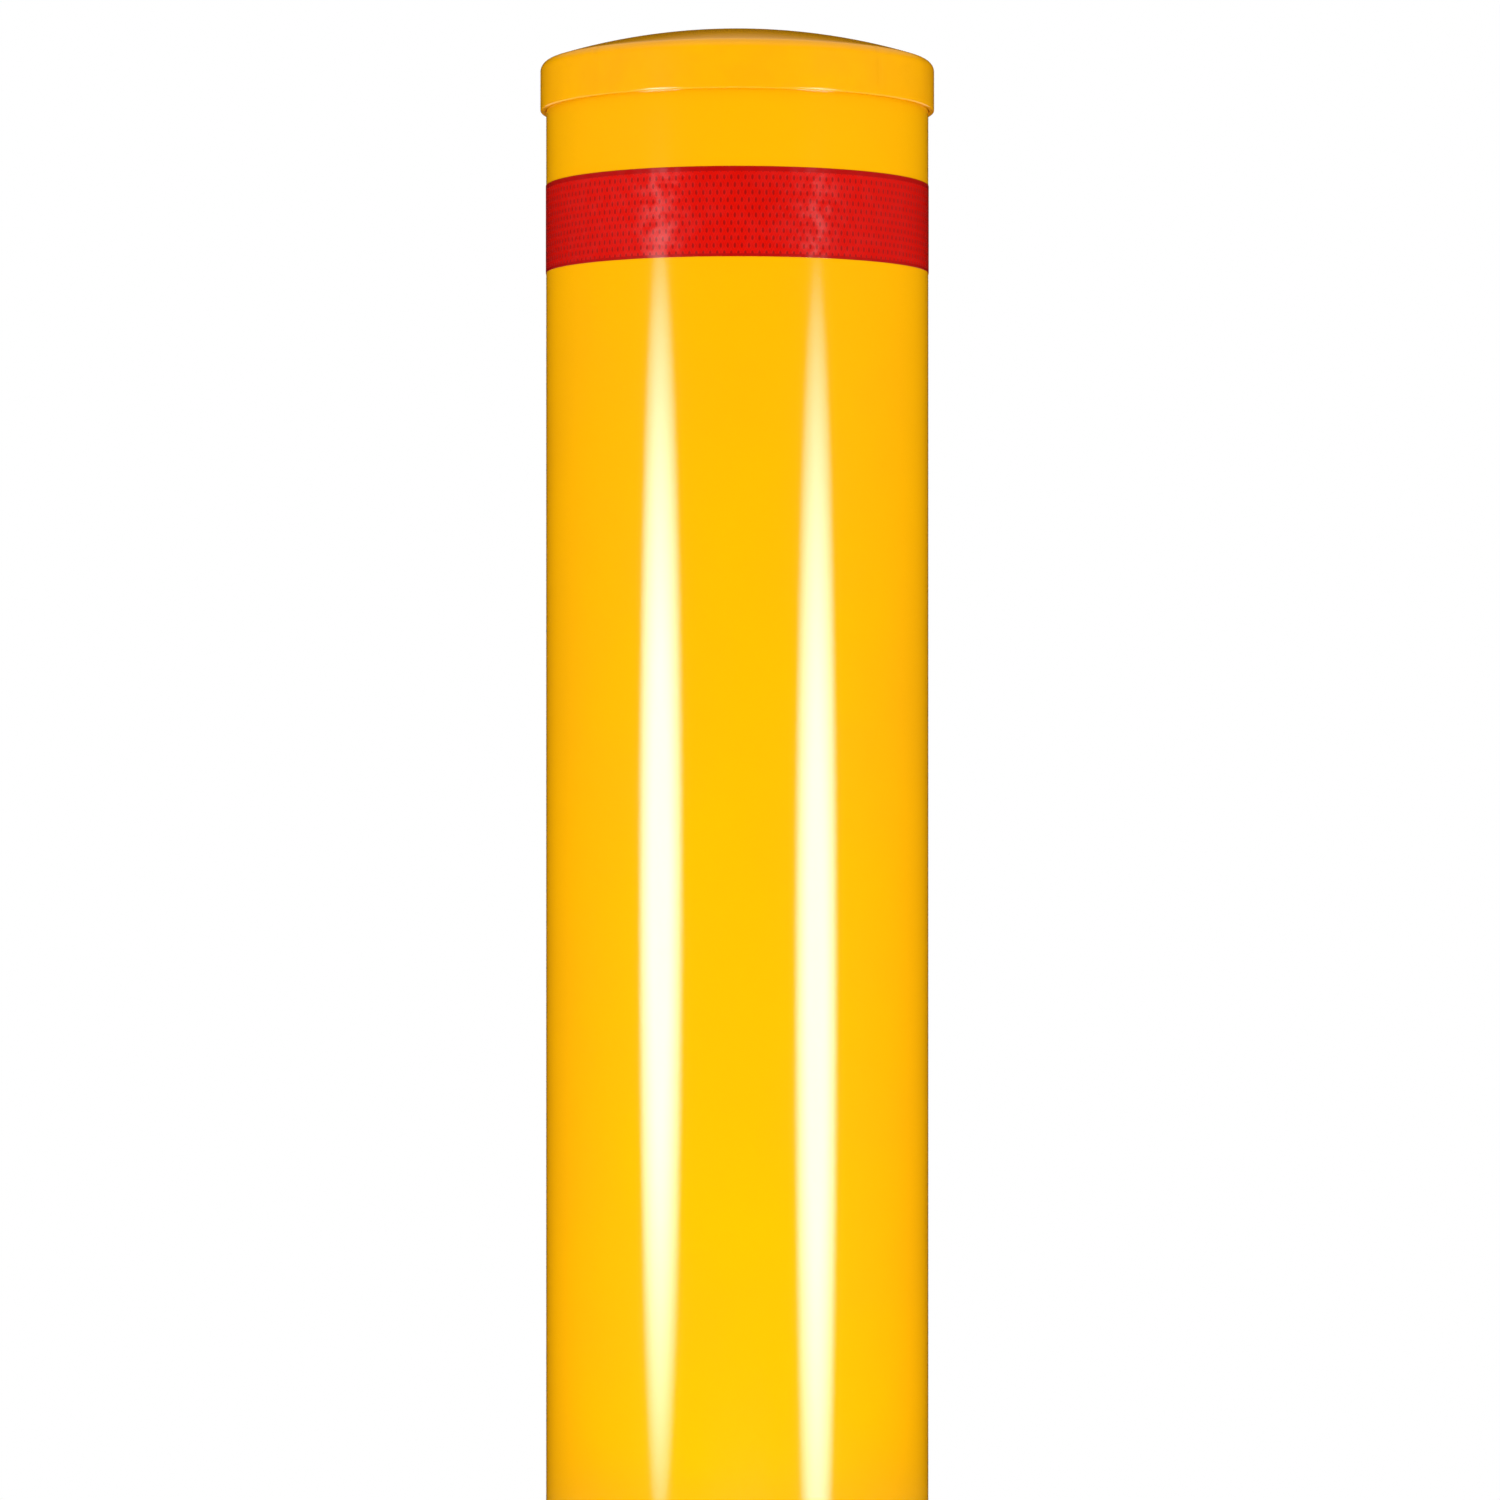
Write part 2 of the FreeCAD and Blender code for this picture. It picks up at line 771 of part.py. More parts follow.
anchors = new_body("anchor_bars")
anchor_sketch = new_sketch(anchors, "YZ", "casing_r")
add_circle(anchor_sketch, "0", "0 - anchor_top", "anchor_radius")
add_circle(anchor_sketch, "0", "0 - anchor_low", "anchor_radius")
anchor = pushed(anchors, anchor_sketch, "anchor_reach - casing_r")
polar(anchors, [anchor], "anchor_count")
anchors.Placement.Rotation = FreeCAD.Rotation(Vector(0, 0, 1), 45)


# Boxes welded over the casing's windows keep the concrete out.
keeper_boxes = new_body("keeper_boxes")
window = bolt_window("slot_gap")
cover = bolt_window("keeper_wall")
steps = []
for level in ("bolt_level", "bolt_level - travel"):
    box_sketch = new_sketch(keeper_boxes, "YZ", "casing_r + keeper_depth")
    add_outline(box_sketch, cover(level))
    box = pushed(keeper_boxes, box_sketch, "casing_r / 2 + keeper_depth", back=True)
    hollow = new_sketch(keeper_boxes, "YZ", "casing_r + keeper_depth - keeper_wall")
    add_outline(hollow, window(level))
    inside = pushed(keeper_boxes, hollow, "casing_r", cuts=True)
    trim = new_sketch(keeper_boxes, "XY", f"{level} + casing_r / 2")
    add_circle(trim, "0", "0", "casing_r")
    round_cut = pushed(keeper_boxes, trim, "casing_r", cuts=True)
    steps += [box, inside, round_cut]
polar(keeper_boxes, steps, "2")

rail = new_body("anti_rotation_rail")
rail_sketch = new_sketch(rail, "XY", "base_top")
add_outline(
    rail_sketch,
    [
        ("0 - rail_width / 2", "rail_face"),
        ("rail_width / 2", "rail_face"),
        ("rail_width / 2", "rail_back"),
        ("0 - rail_width / 2", "rail_back"),
    ],
)
pushed(rail, rail_sketch, "stop_face - rail_clear - base_top")

buffers = new_body("base_buffers")
buffer_sketch = new_sketch(buffers, "XZ")
add_outline(
    buffer_sketch,
    [
        ("buffer_ring", "base_top"),
        ("buffer_ring + buffer_radius", "base_top"),
        ("buffer_ring + buffer_radius - 2", "rest_level"),
        ("buffer_ring", "rest_level"),
    ],
)
add_axis(buffer_sketch, "buffer_ring")
buffer = turned(buffers, buffer_sketch, "Axis0")
polar(buffers, [buffer], "buffer_count")
buffers.Placement.Rotation = FreeCAD.Rotation(Vector(0, 0, 1), 45)

# ---- gas struts: cylinders stand in the casing, rods hang from the post ----

sides = {"front": "0 - strut_offset", "rear": "strut_offset"}

for side, offset in sides.items():
    cylinder = shell(
        f"strut_cylinder_{side}",
        [
            ("0", "strut_bottom"),
            ("strut_r", "strut_bottom"),
            ("strut_r", "strut_top"),
            ("strut_in", "strut_top"),
            ("strut_in", "strut_bottom + strut_end"),
            ("0", "strut_bottom + strut_end"),
        ],
    )
    tongue = new_sketch(cylinder, "YZ")
    add_outline(
        tongue,
        [
            ("0 - eye_radius", "eye_at"),
            ("eye_radius", "eye_at"),
            ("eye_radius", "strut_bottom"),
            ("0 - eye_radius", "strut_bottom"),
        ],
    )
    pushed(cylinder, tongue, "eye_width", both=True)
    eye = new_sketch(cylinder, "YZ")
    add_circle(eye, "0", "eye_at", "eye_radius")
    pushed(cylinder, eye, "eye_width", both=True)
    bore = new_sketch(cylinder, "YZ")
    add_circle(bore, "0", "eye_at", "base_pin_radius + running_gap")
    pushed(cylinder, bore, "eye_width + 2", cuts=True, both=True)
    bind(cylinder, Placement__Base__y=offset)

    rod = shell(
        f"strut_rod_{side}",
        [
            ("0", "piston_bottom"),
            ("rod_radius", "piston_bottom"),
            ("rod_radius", "head_bottom"),
            ("rod_stud", "head_bottom"),
            ("rod_stud", "head_top + rod_thread"),
            ("0", "head_top + rod_thread"),
        ],
    )
    bind(rod, Placement__Base__y=offset)


def strut_rings(name, inner, outer, bottom, top):
    """Two rings, one round each strut's rod."""
    body = new_body(name)
    sketch = new_sketch(body, "YZ")
    near = f"strut_offset + {inner}"
    far = f"strut_offset + {outer}"
    add_outline(sketch, [(near, bottom), (far, bottom), (far, top), (near, top)])
    add_axis(sketch, "strut_offset")
    one = turned(body, sketch, "Axis0")
    polar(body, [one], "2")


strut_rings(
    "strut_glands",
    "rod_radius + running_gap",
    "strut_in",
    "strut_top - gland_length",
    "strut_top",
)
strut_rings(
    "strut_pistons", "rod_radius", "strut_in - piston_gap", "piston_bottom", "piston_top"
)

nuts = new_body("strut_nuts")
nut_sketch = new_sketch(nuts, "XY", "head_top")
add_outline(nut_sketch, hexagon("0", "strut_offset", "nut_across"))
add_circle(nut_sketch, "0", "strut_offset", "rod_stud + thread_gap")
nut = pushed(nuts, nut_sketch, "nut_height")
polar(nuts, [nut], "2")

clevises = new_body("strut_base_clevises")
clevis_sketch = new_sketch(clevises, "XZ", "0 - strut_offset")
clevis_in = "eye_width / 2 + clevis_gap"
clevis_out = f"{clevis_in} + clevis_wall"
clevis_top = "eye_at + eye_radius"
add_outline(
    clevis_sketch,
    [
        (f"0 - ({clevis_out})", "base_top"),
        (clevis_out, "base_top"),
        (clevis_out, clevis_top),
        (clevis_in, clevis_top),
        (clevis_in, "base_top + clevis_wall"),
        (f"0 - ({clevis_in})", "base_top + clevis_wall"),
        (f"0 - ({clevis_in})", clevis_top),
        (f"0 - ({clevis_out})", clevis_top),
    ],
)
clevis = pushed(clevises, clevis_sketch, "clevis_width", both=True)
clevis_bore = new_sketch(clevises, "YZ")
add_circle(clevis_bore, "strut_offset", "eye_at", "base_pin_radius + running_gap")
clevis_hole = pushed(clevises, clevis_bore, f"2 * ({clevis_out}) + 2", cuts=True, both=True)
polar(clevises, [clevis, clevis_hole], "2")

base_pins = new_body("strut_base_pins")
pin_sketch = new_sketch(base_pins, "YZ")
add_circle(pin_sketch, "strut_offset", "eye_at", "base_pin_radius")
base_pin = pushed(base_pins, pin_sketch, "base_pin_length", both=True)
polar(base_pins, [base_pin], "2")

# ---- post: everything that rises ----

bollard_tube = ring("bollard_tube", "tube_in", "tube_r", "tube_bottom", "tube_top")
cut_windows(bollard_tube, ["bolt_level"], "tube_od")

ring(
    "reflective_band",
    "tube_r",
    "tube_r + tape_thickness",
    "raised_height - tape_drop - tape_height",
    "raised_height - tape_drop",
)

cap = shell(
    "cap",
    [
        ("neck_radius + cap_gap", "boss_bottom"),
        ("boss_radius", "boss_bottom"),
        ("boss_radius", "boss_level"),
        ("inner_edge", "inner_edge_level"),
        ("skirt_in", "corner_level"),
        ("skirt_in", "skirt_bottom"),
        ("skirt_out - lip_round", "skirt_bottom"),
        ("skirt_out", "skirt_bottom + lip_round"),
        ("skirt_out", "corner_level"),
        ("dome_edge", "dome_edge_level"),
        ("recess_radius", "recess_level"),
        ("recess_radius", "bezel_seat"),
        ("neck_radius + cap_gap", "bezel_seat"),
    ],
    {2: "-dome_in", 3: "-corner_in", 6: "lip_round", 8: "corner_radius", 9: "dome_radius"},
)
rib_sketch = new_sketch(cap, "XZ")
rib_inner = "skirt_in - rib_reach"
add_outline(
    rib_sketch,
    [
        (rib_inner, "tube_top"),
        ("skirt_in - cap_gap", "tube_top"),
        ("skirt_in - cap_gap", "corner_level + cap_wall"),
        ("inner_edge", "inner_edge_level + cap_wall / 2"),
        (rib_inner, "dome_edge_level + cap_wall / 2"),
    ],
)
rib = pushed(cap, rib_sketch, "rib_thickness", both=True)
polar(cap, [rib], "rib_count")
holes(
    cap,
    "bezel_screw_ring * cos(30)",
    "bezel_screw_ring * sin(30)",
    "bezel_screw_radius + thread_gap",
    "bezel_seat",
    "bezel_floor + 1",
    "bezel_screw_count",
)

head_plate = ring("head_plate", "head_hole", "tube_in", "head_bottom", "head_top")
holes(
    head_plate,
    "0",
    "strut_offset",
    "rod_stud + thread_gap",
    "head_top + 1",
    "head_plate + 2",
    "2",
)
holes(
    head_plate,
    "housing_screw_ring * cos(45)",
    "housing_screw_ring * sin(45)",
    "housing_screw_radius + thread_gap",
    "head_top",
    "head_plate - 1",
    "housing_screw_count",
)

housing = shell(
    "lock_housing",
    [
        ("barrel_radius + housing_wall", "head_top"),
        ("housing_foot", "head_top"),
        ("housing_foot", "head_top + housing_flange"),
        ("barrel_radius + 2 * housing_wall", "head_top + housing_flange"),
        ("barrel_radius + 2 * housing_wall", "boss_bottom - housing_flange"),
        ("bezel_radius", "boss_bottom - housing_flange"),
        ("bezel_radius", "boss_bottom"),
        ("neck_radius", "boss_bottom"),
        ("neck_radius", "neck_top"),
        ("barrel_radius + running_gap", "neck_top"),
        ("barrel_radius + running_gap", "barrel_bottom"),
        ("barrel_radius + housing_wall", "barrel_bottom"),
    ],
)
holes(
    housing,
    "bezel_screw_ring * cos(30)",
    "bezel_screw_ring * sin(30)",
    "bezel_screw_radius + thread_gap",
    "boss_bottom",
    "housing_flange - 0.5",
    "bezel_screw_count",
)
countersinks(
    housing,
    "housing_screw_ring",
    "head_top + housing_flange",
    "housing_screw_radius",
    "housing_flange",
    "housing_screw_count",
    turn=45,
)
flat_screws(
    "housing_screws",
    "housing_screw_ring",
    "head_top + housing_flange",
    "housing_screw_radius",
    "housing_flange + head_plate - 2",
    "housing_screw_count",
    turn=45,
)

bezel = ring("lock_bezel", "bezel_opening", "bezel_radius", "bezel_seat", "bezel_top")
countersinks(
    bezel,
    "bezel_screw_ring",
    "bezel_top",
    "bezel_screw_radius",
    "bezel_thickness",
    "bezel_screw_count",
    turn=30,
)
slot_half = "cover_tongue / 2 + cap_gap"
slot = new_sketch(bezel, "XY", "bezel_top + 1")
add_outline(
    slot,
    [
        (f"0 - ({slot_half})", "bezel_opening - 5"),
        (slot_half, "bezel_opening - 5"),
        (slot_half, "cover_hinge + knuckle_radius + 1.2"),
        (f"0 - ({slot_half})", "cover_hinge + knuckle_radius + 1.2"),
    ],
)
pushed(bezel, slot, "bezel_thickness + 2", cuts=True)
pin_bore = new_sketch(bezel, "YZ")
add_circle(pin_bore, "cover_hinge", "hinge_level", "hinge_pin_radius")
pushed(bezel, pin_bore, "2 * cover_tongue - 2", cuts=True, both=True)
flat_screws(
    "bezel_screws",
    "bezel_screw_ring",
    "bezel_top",
    "bezel_screw_radius",
    "bezel_thickness + bezel_floor + housing_flange - 1.5",
    "bezel_screw_count",
    turn=30,
)

hinge_pin = new_body("cover_hinge_pin")
hinge_sketch = new_sketch(hinge_pin, "YZ")
add_circle(hinge_sketch, "cover_hinge", "hinge_level", "hinge_pin_radius")
pushed(hinge_pin, hinge_sketch, "2 * cover_tongue - 2", both=True)

ring("stop_flange", "tube_r", "stop_r", "stop_bottom", "stop_top")
ring("stop_buffer_ring", "tube_r", "stop_r", "stop_top", "buffer_top")

foot_ring = ring(
    "foot_ring", "foot_bore_r", "tube_in", "tube_bottom", "tube_bottom + foot_thickness"
)
holes(
    foot_ring,
    "foot_screw_ring",
    "0",
    "foot_screw_radius + thread_gap",
    "tube_bottom",
    "foot_thickness + 1",
    "foot_screw_count",
    back=True,
)


def cut_notch(body, level, depth):
    """Cut the notch that runs along the anti-rotation rail."""
    sketch = new_sketch(body, "XY", level)
    add_outline(
        sketch,
        [
            ("0 - notch_half", "notch_face"),
            ("notch_half", "notch_face"),
            ("notch_half", "casing_r"),
            ("0 - notch_half", "casing_r"),
        ],
    )
    pushed(body, sketch, depth, cuts=True)


guide_ring = ring(
    "lower_guide_ring", "tube_r", "guide_r", "tube_bottom", "tube_bottom + lower_guide"
)
cut_notch(guide_ring, "tube_bottom + lower_guide + 1", "lower_guide + 2")
retainer = ring("guide_retainer", "foot_bore_r", "retainer_r", "foot_bottom", "tube_bottom")
cut_notch(retainer, "tube_bottom + 1", "retainer_thickness + 2")
countersinks(
    retainer,
    "foot_screw_ring",
    "foot_bottom",
    "foot_screw_radius",
    "retainer_thickness",
    "foot_screw_count",
    sign=-1,
)
flat_screws(
    "retainer_screws",
    "foot_screw_ring",
    "foot_bottom",
    "foot_screw_radius",
    "retainer_thickness + foot_thickness - 1",
    "foot_screw_count",
    sign=-1,
)

# ---- latch: a pinion on the lock shaft drives two toothed bolts between two plates ----

for name, bottom in (
    ("latch_upper_plate", "upper_plate_down"),
    ("latch_lower_plate", "lower_plate_down"),
):
    top = f"{bottom} + latch_plate"
    plate = ring(name, "shaft_radius + bush_wall", "tube_in", bottom, top)
    above = f"{top} + 1"
    depth = "latch_plate + 2"
    holes(plate, "0", "strut_offset", "strut_r + strut_clear", above, depth, "2")
    screw_hole = "latch_screw_radius + thread_gap"
    holes(plate, "latch_screw_near", "0", screw_hole, above, depth, "2")
    holes(plate, "latch_screw_far", "0", screw_hole, above, depth, "2")

guides = new_body("latch_guides")
guide_sketch = new_sketch(guides, "XY", "lower_plate_up")
block_half = "(rack_tip - bolt_gap)"
add_outline(
    guide_sketch,
    [
        ("guide_start", f"0 - {block_half}"),
        ("guide_end", f"0 - {block_half}"),
        ("guide_end", block_half),
        ("guide_start", block_half),
    ],
)
add_circle(guide_sketch, "latch_screw_near", "0", "latch_screw_radius + thread_gap")
add_circle(guide_sketch, "latch_screw_far", "0", "latch_screw_radius + thread_gap")
add_outline(
    guide_sketch,
    [
        ("0 - strip_half", "0 - strip_back"),
        ("strip_half", "0 - strip_back"),
        ("strip_half", "0 - bolt_back - bolt_gap"),
        ("0 - strip_half", "0 - bolt_back - bolt_gap"),
    ],
)
guide = pushed(guides, guide_sketch, "bolt_height + 2 * bolt_gap")
polar(guides, [guide], "2")

latch_screws = new_body("latch_screws")
turned_screws = []
for spot in ("latch_screw_near", "latch_screw_far"):
    screw_sketch = new_sketch(latch_screws, "XZ")
    add_outline(
        screw_sketch,
        [
            (spot, "lower_plate_down"),
            (f"{spot} + latch_screw_radius", "lower_plate_down"),
            (f"{spot} + latch_screw_radius", "upper_plate_up"),
            (f"{spot} + latch_screw_head", "upper_plate_up"),
            (f"{spot} + latch_screw_head", "upper_plate_up + 2 * latch_screw_radius"),
            (spot, "upper_plate_up + 2 * latch_screw_radius"),
        ],
    )
    add_axis(screw_sketch, spot)
    turned_screws.append(turned(latch_screws, screw_sketch, "Axis0"))
polar(latch_screws, turned_screws, "2")

for name, near, far, end in (
    ("shaft_bush_upper", "upper_plate_down", "upper_plate_up", "upper_plate_up + bush_flange"),
    ("shaft_bush_lower", "lower_plate_up", "lower_plate_down", "lower_plate_down - bush_flange"),
):
    shell(
        name,
        [
            ("shaft_radius + running_gap", near),
            ("shaft_radius + bush_wall", near),
            ("shaft_radius + bush_wall", far),
            ("shaft_radius + 2 * bush_wall", far),
            ("shaft_radius + 2 * bush_wall", end),
            ("shaft_radius + running_gap", end),
        ],
    )

slope = "tan(20)"
for name, angle in (("latch_bolt_right", 0), ("latch_bolt_left", 180)):
    bolt = new_body(name)
    bolt_sketch = new_sketch(bolt, "XY", "bolt_down")
    add_outline(
        bolt_sketch,
        [
            ("0 - bolt_tail", "0 - bolt_back"),
            ("bolt_tip - nose_chamfer", "0 - bolt_back"),
            ("bolt_tip", "0 - bolt_back + nose_chamfer"),
            ("bolt_tip", "0 - rack_tip - nose_chamfer"),
            ("bolt_tip - nose_chamfer", "0 - rack_tip"),
            ("0 - bolt_tail", "0 - rack_tip"),
        ],
    )
    pushed(bolt, bolt_sketch, "bolt_height")
    space = new_sketch(bolt, "XY", "bolt_up + 1")
    narrow = f"(rack_pitch / 4 - 1.25 * gear_module * {slope})"
    wide = f"(rack_pitch / 4 + (0.8 * gear_module + 1) * {slope})"
    add_outline(
        space,
        [
            (f"2 * rack_pitch - {narrow}", "0 - rack_root"),
            (f"2 * rack_pitch + {narrow}", "0 - rack_root"),
            (f"2 * rack_pitch + {wide}", "1 - rack_tip"),
            (f"2 * rack_pitch - {wide}", "1 - rack_tip"),
        ],
    )
    space_cut = pushed(bolt, space, "bolt_height + 2", cuts=True)
    row = bolt.newObject("PartDesign::LinearPattern", "Row")
    row.Originals = [space_cut]
    row.Direction = (datum(bolt, "X_Axis"), [""])
    row.Reversed = True
    bind(row, Length="(rack_spaces - 1) * rack_pitch", Occurrences="rack_spaces")
    finish(bolt, row, cuts=True)
    bolt.Placement.Rotation = FreeCAD.Rotation(Vector(0, 0, 1), angle)

# ---- lock shaft, turned by the key ----

barrel = shell(
    "key_barrel",
    [
        ("0", "head_top"),
        ("shaft_radius", "head_top"),
        ("shaft_radius", "barrel_bottom"),
        ("barrel_radius", "barrel_bottom"),
        ("barrel_radius", "barrel_top"),
        ("0", "barrel_top"),
    ],
)
keyway = new_sketch(barrel, "XY", "barrel_top")
add_outline(
    keyway,
    [
        ("0 - keyway_width / 2", "0 - keyway_length / 2"),
        ("keyway_width / 2", "0 - keyway_length / 2"),
        ("keyway_width / 2", "keyway_length / 2"),
        ("0 - keyway_width / 2", "keyway_length / 2"),
    ],
)
pushed(barrel, keyway, "keyway_depth", cuts=True)

shaft = shell(
    "lock_shaft",
    [
        ("0", "shaft_bottom"),
        ("shaft_radius", "shaft_bottom"),
        ("shaft_radius", "head_top"),
        ("0", "head_top"),
    ],
)
coupling = ring(
    "shaft_coupling",
    "shaft_radius",
    "coupling_radius",
    "head_top - coupling_length / 2",
    "head_top + coupling_length / 2",
)
for body, level in (
    (barrel, "head_top + coupling_length / 4"),
    (shaft, "head_top - coupling_length / 4"),
    (coupling, "head_top + coupling_length / 4"),
    (coupling, "head_top - coupling_length / 4"),
):
    drilled = new_sketch(body, "YZ")
    add_circle(drilled, "0", level, "shaft_pin_radius")
    pushed(body, drilled, "2 * coupling_radius + 2", cuts=True, both=True)
shaft_pins = new_body("shaft_pins")
shaft_pin_sketch = new_sketch(shaft_pins, "YZ")
add_circle(shaft_pin_sketch, "0", "head_top + coupling_length / 4", "shaft_pin_radius")
add_circle(shaft_pin_sketch, "0", "head_top - coupling_length / 4", "shaft_pin_radius")
pushed(shaft_pins, shaft_pin_sketch, "2 * coupling_radius", both=True)

ring(
    "shaft_collar",
    "shaft_radius",
    "collar_radius",
    "upper_plate_up + bush_flange + stop_gap",
    "upper_plate_up + bush_flange + stop_gap + collar_length",
)


def key_outline(gap):
    half = f"(key_width / 2 + {gap})"
    return [
        (f"0 - {half}", "shaft_radius - key_width / 2"),
        (half, "shaft_radius - key_width / 2"),
        (half, f"shaft_radius + key_width / 2 + {gap}"),
        (f"0 - {half}", f"shaft_radius + key_width / 2 + {gap}"),
    ]


pinion_key = new_body("pinion_key")
key_sketch = new_sketch(pinion_key, "XY", "pinion_down")
add_outline(key_sketch, key_outline("0"))
pushed(pinion_key, key_sketch, "pinion_up - pinion_down")
key_seat = new_sketch(shaft, "XY", "pinion_up")
add_outline(key_seat, key_outline("0"))
pushed(shaft, key_seat, "pinion_up - pinion_down", cuts=True)

PRESSURE_ANGLE = math.radians(20)


def involute(angle):
    return math.tan(angle) - angle


def pinion_shape():
    """An involute pinion: one toothed outline, pushed up, with a bore and a keyway."""
    teeth = int(value("gear_teeth"))
    module = value("gear_module")
    pitch_radius = value("pitch_r")
    base_radius = pitch_radius * math.cos(PRESSURE_ANGLE)
    root_radius = pitch_radius - 1.25 * module
    tip_radius = pitch_radius + module
    slack = value("gear_backlash") / pitch_radius
    half_at_pitch = math.pi / 2 / teeth - slack + involute(PRESSURE_ANGLE)
    start = max(base_radius, root_radius)
    radii = [start + (tip_radius - start) * step / 4 for step in range(5)]
    flank = [(root_radius, half_at_pitch)] if root_radius < base_radius else []
    flank += [(r, half_at_pitch - involute(math.acos(base_radius / r))) for r in radii]

    def spot(radius, angle):
        return Vector(radius * math.cos(angle), radius * math.sin(angle), 0)

    edges = []
    for tooth in range(teeth):
        middle = 2 * math.pi * tooth / teeth
        rising = [spot(r, middle - half) for r, half in flank]
        falling = [spot(r, middle + half) for r, half in reversed(flank)]
        following = middle + 2 * math.pi / teeth - flank[0][1]
        corners = rising + falling + [spot(root_radius, following)]
        edges += [Part.LineSegment(a, b).toShape() for a, b in zip(corners, corners[1:])]
    face = Part.Face(Part.Wire(edges))
    height = value("pinion_up - pinion_down")
    solid = face.extrude(Vector(0, 0, height))
    solid = solid.cut(Part.makeCylinder(value("shaft_radius"), height))
    keyway_points = [Vector(value(a), value(b), 0) for a, b in key_outline("0")]
    keyway_face = Part.Face(Part.makePolygon(keyway_points + keyway_points[:1]))
    return solid.cut(keyway_face.extrude(Vector(0, 0, height)))


pinion = label(document.addObject("Part::Feature", "lock_pinion"), "lock_pinion")
pinion.Shape = pinion_shape()
bind(pinion, Placement__Base__z="pinion_down")

# ---- key cover, hinged in the bezel ----

cover = new_body("key_cover")
disc = new_sketch(cover, "XY", "cover_top - cover_thickness")
add_circle(disc, "0", "0", "cover_radius")
pushed(cover, disc, "cover_thickness")
tongue = new_sketch(cover, "XY", "cover_top - cover_thickness")
add_outline(
    tongue,
    [
        ("0 - cover_tongue / 2", "cover_radius - 5"),
        ("cover_tongue / 2", "cover_radius - 5"),
        ("cover_tongue / 2", "cover_hinge"),
        ("0 - cover_tongue / 2", "cover_hinge"),
    ],
)
pushed(cover, tongue, "cover_thickness")
knuckle = new_sketch(cover, "YZ")
add_circle(knuckle, "cover_hinge", "hinge_level", "knuckle_radius")
pushed(cover, knuckle, "cover_tongue", both=True)
knuckle_bore = new_sketch(cover, "YZ")
add_circle(knuckle_bore, "cover_hinge", "hinge_level", "hinge_pin_radius + running_gap")
pushed(cover, knuckle_bore, "cover_tongue + 2", cuts=True, both=True)

# ---- check and write ----

document.recompute()
for item in document.Objects:
    if "Invalid" in item.State or "Error" in item.State:
        raise RuntimeError(f"{item.Name} did not rebuild: {item.State}")
for item in parts:
    if item.Shape.isNull() or not item.Shape.isValid():
        raise RuntimeError(f"{item.Label} has no valid shape")

os.makedirs("parts", exist_ok=True)
for item in parts:
    item.Shape.exportStep(f"parts/{item.Label}.step")
print(f"{len(parts)} parts written")
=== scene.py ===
import json
import math
import bpy
from mathutils import Matrix, Vector


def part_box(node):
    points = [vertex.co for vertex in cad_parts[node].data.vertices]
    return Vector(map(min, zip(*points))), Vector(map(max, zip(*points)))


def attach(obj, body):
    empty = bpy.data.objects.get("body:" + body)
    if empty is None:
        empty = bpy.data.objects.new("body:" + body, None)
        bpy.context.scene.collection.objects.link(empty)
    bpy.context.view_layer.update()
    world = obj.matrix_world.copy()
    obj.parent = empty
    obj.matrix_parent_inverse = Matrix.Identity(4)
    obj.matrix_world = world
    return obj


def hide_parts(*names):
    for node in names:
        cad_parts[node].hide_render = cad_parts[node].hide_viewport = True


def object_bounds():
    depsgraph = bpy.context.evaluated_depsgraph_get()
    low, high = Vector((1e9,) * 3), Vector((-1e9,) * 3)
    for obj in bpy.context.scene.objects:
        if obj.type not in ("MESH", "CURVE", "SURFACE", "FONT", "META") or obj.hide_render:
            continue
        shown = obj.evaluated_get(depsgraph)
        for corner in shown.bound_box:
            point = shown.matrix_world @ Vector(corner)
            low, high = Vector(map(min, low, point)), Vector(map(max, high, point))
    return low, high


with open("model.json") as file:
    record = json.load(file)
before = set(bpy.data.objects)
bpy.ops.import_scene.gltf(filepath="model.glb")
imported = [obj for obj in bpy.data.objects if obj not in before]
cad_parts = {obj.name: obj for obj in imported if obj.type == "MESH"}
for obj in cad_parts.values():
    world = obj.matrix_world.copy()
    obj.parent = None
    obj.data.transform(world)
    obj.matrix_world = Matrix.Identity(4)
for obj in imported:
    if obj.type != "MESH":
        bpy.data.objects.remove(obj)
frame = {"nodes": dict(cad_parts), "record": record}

# A retractable bollard: the smooth outer pieces, the finishes, the studio and the camera.
# Lengths are metres, angles in the dictionaries are degrees.

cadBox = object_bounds()
nodes = frame["nodes"]
print("frame loaded:", len(nodes), "nodes")


def isSocket(source):
    return isinstance(source, bpy.types.NodeSocket)


def feed(tree, socket, source):
    if isSocket(source):
        tree.links.new(source, socket)
    else:
        socket.default_value = source


def addNode(tree, kind, feeds=None, **settings):
    node = tree.nodes.new("ShaderNode" + kind)
    for label, setting in settings.items():
        setattr(node, label, setting)
    for label, source in (feeds or {}).items():
        feed(tree, node.inputs[label], source)
    return node


def sums(tree, operation, first, second=0.0, third=0.0):
    node = addNode(tree, "Math", operation=operation)
    for socket, source in zip(node.inputs, (first, second, third)):
        feed(tree, socket, source)
    return node.outputs[0]


def remap(tree, source, low, high, fromLow=0.0, fromHigh=1.0):
    feeds = {"Value": source, "From Min": fromLow, "From Max": fromHigh, "To Min": low, "To Max": high}
    return addNode(tree, "MapRange", feeds).outputs[0]


def blendColours(tree, mask, first, second):
    node = addNode(tree, "Mix", data_type="RGBA")
    feed(tree, node.inputs[0], mask)
    feed(tree, node.inputs[6], first)
    feed(tree, node.inputs[7], second)
    return node.outputs[2]


def objectPlace(tree):
    return addNode(tree, "TexCoord").outputs["Object"]


def axesOf(tree, vector):
    return addNode(tree, "SeparateXYZ", {0: vector}).outputs


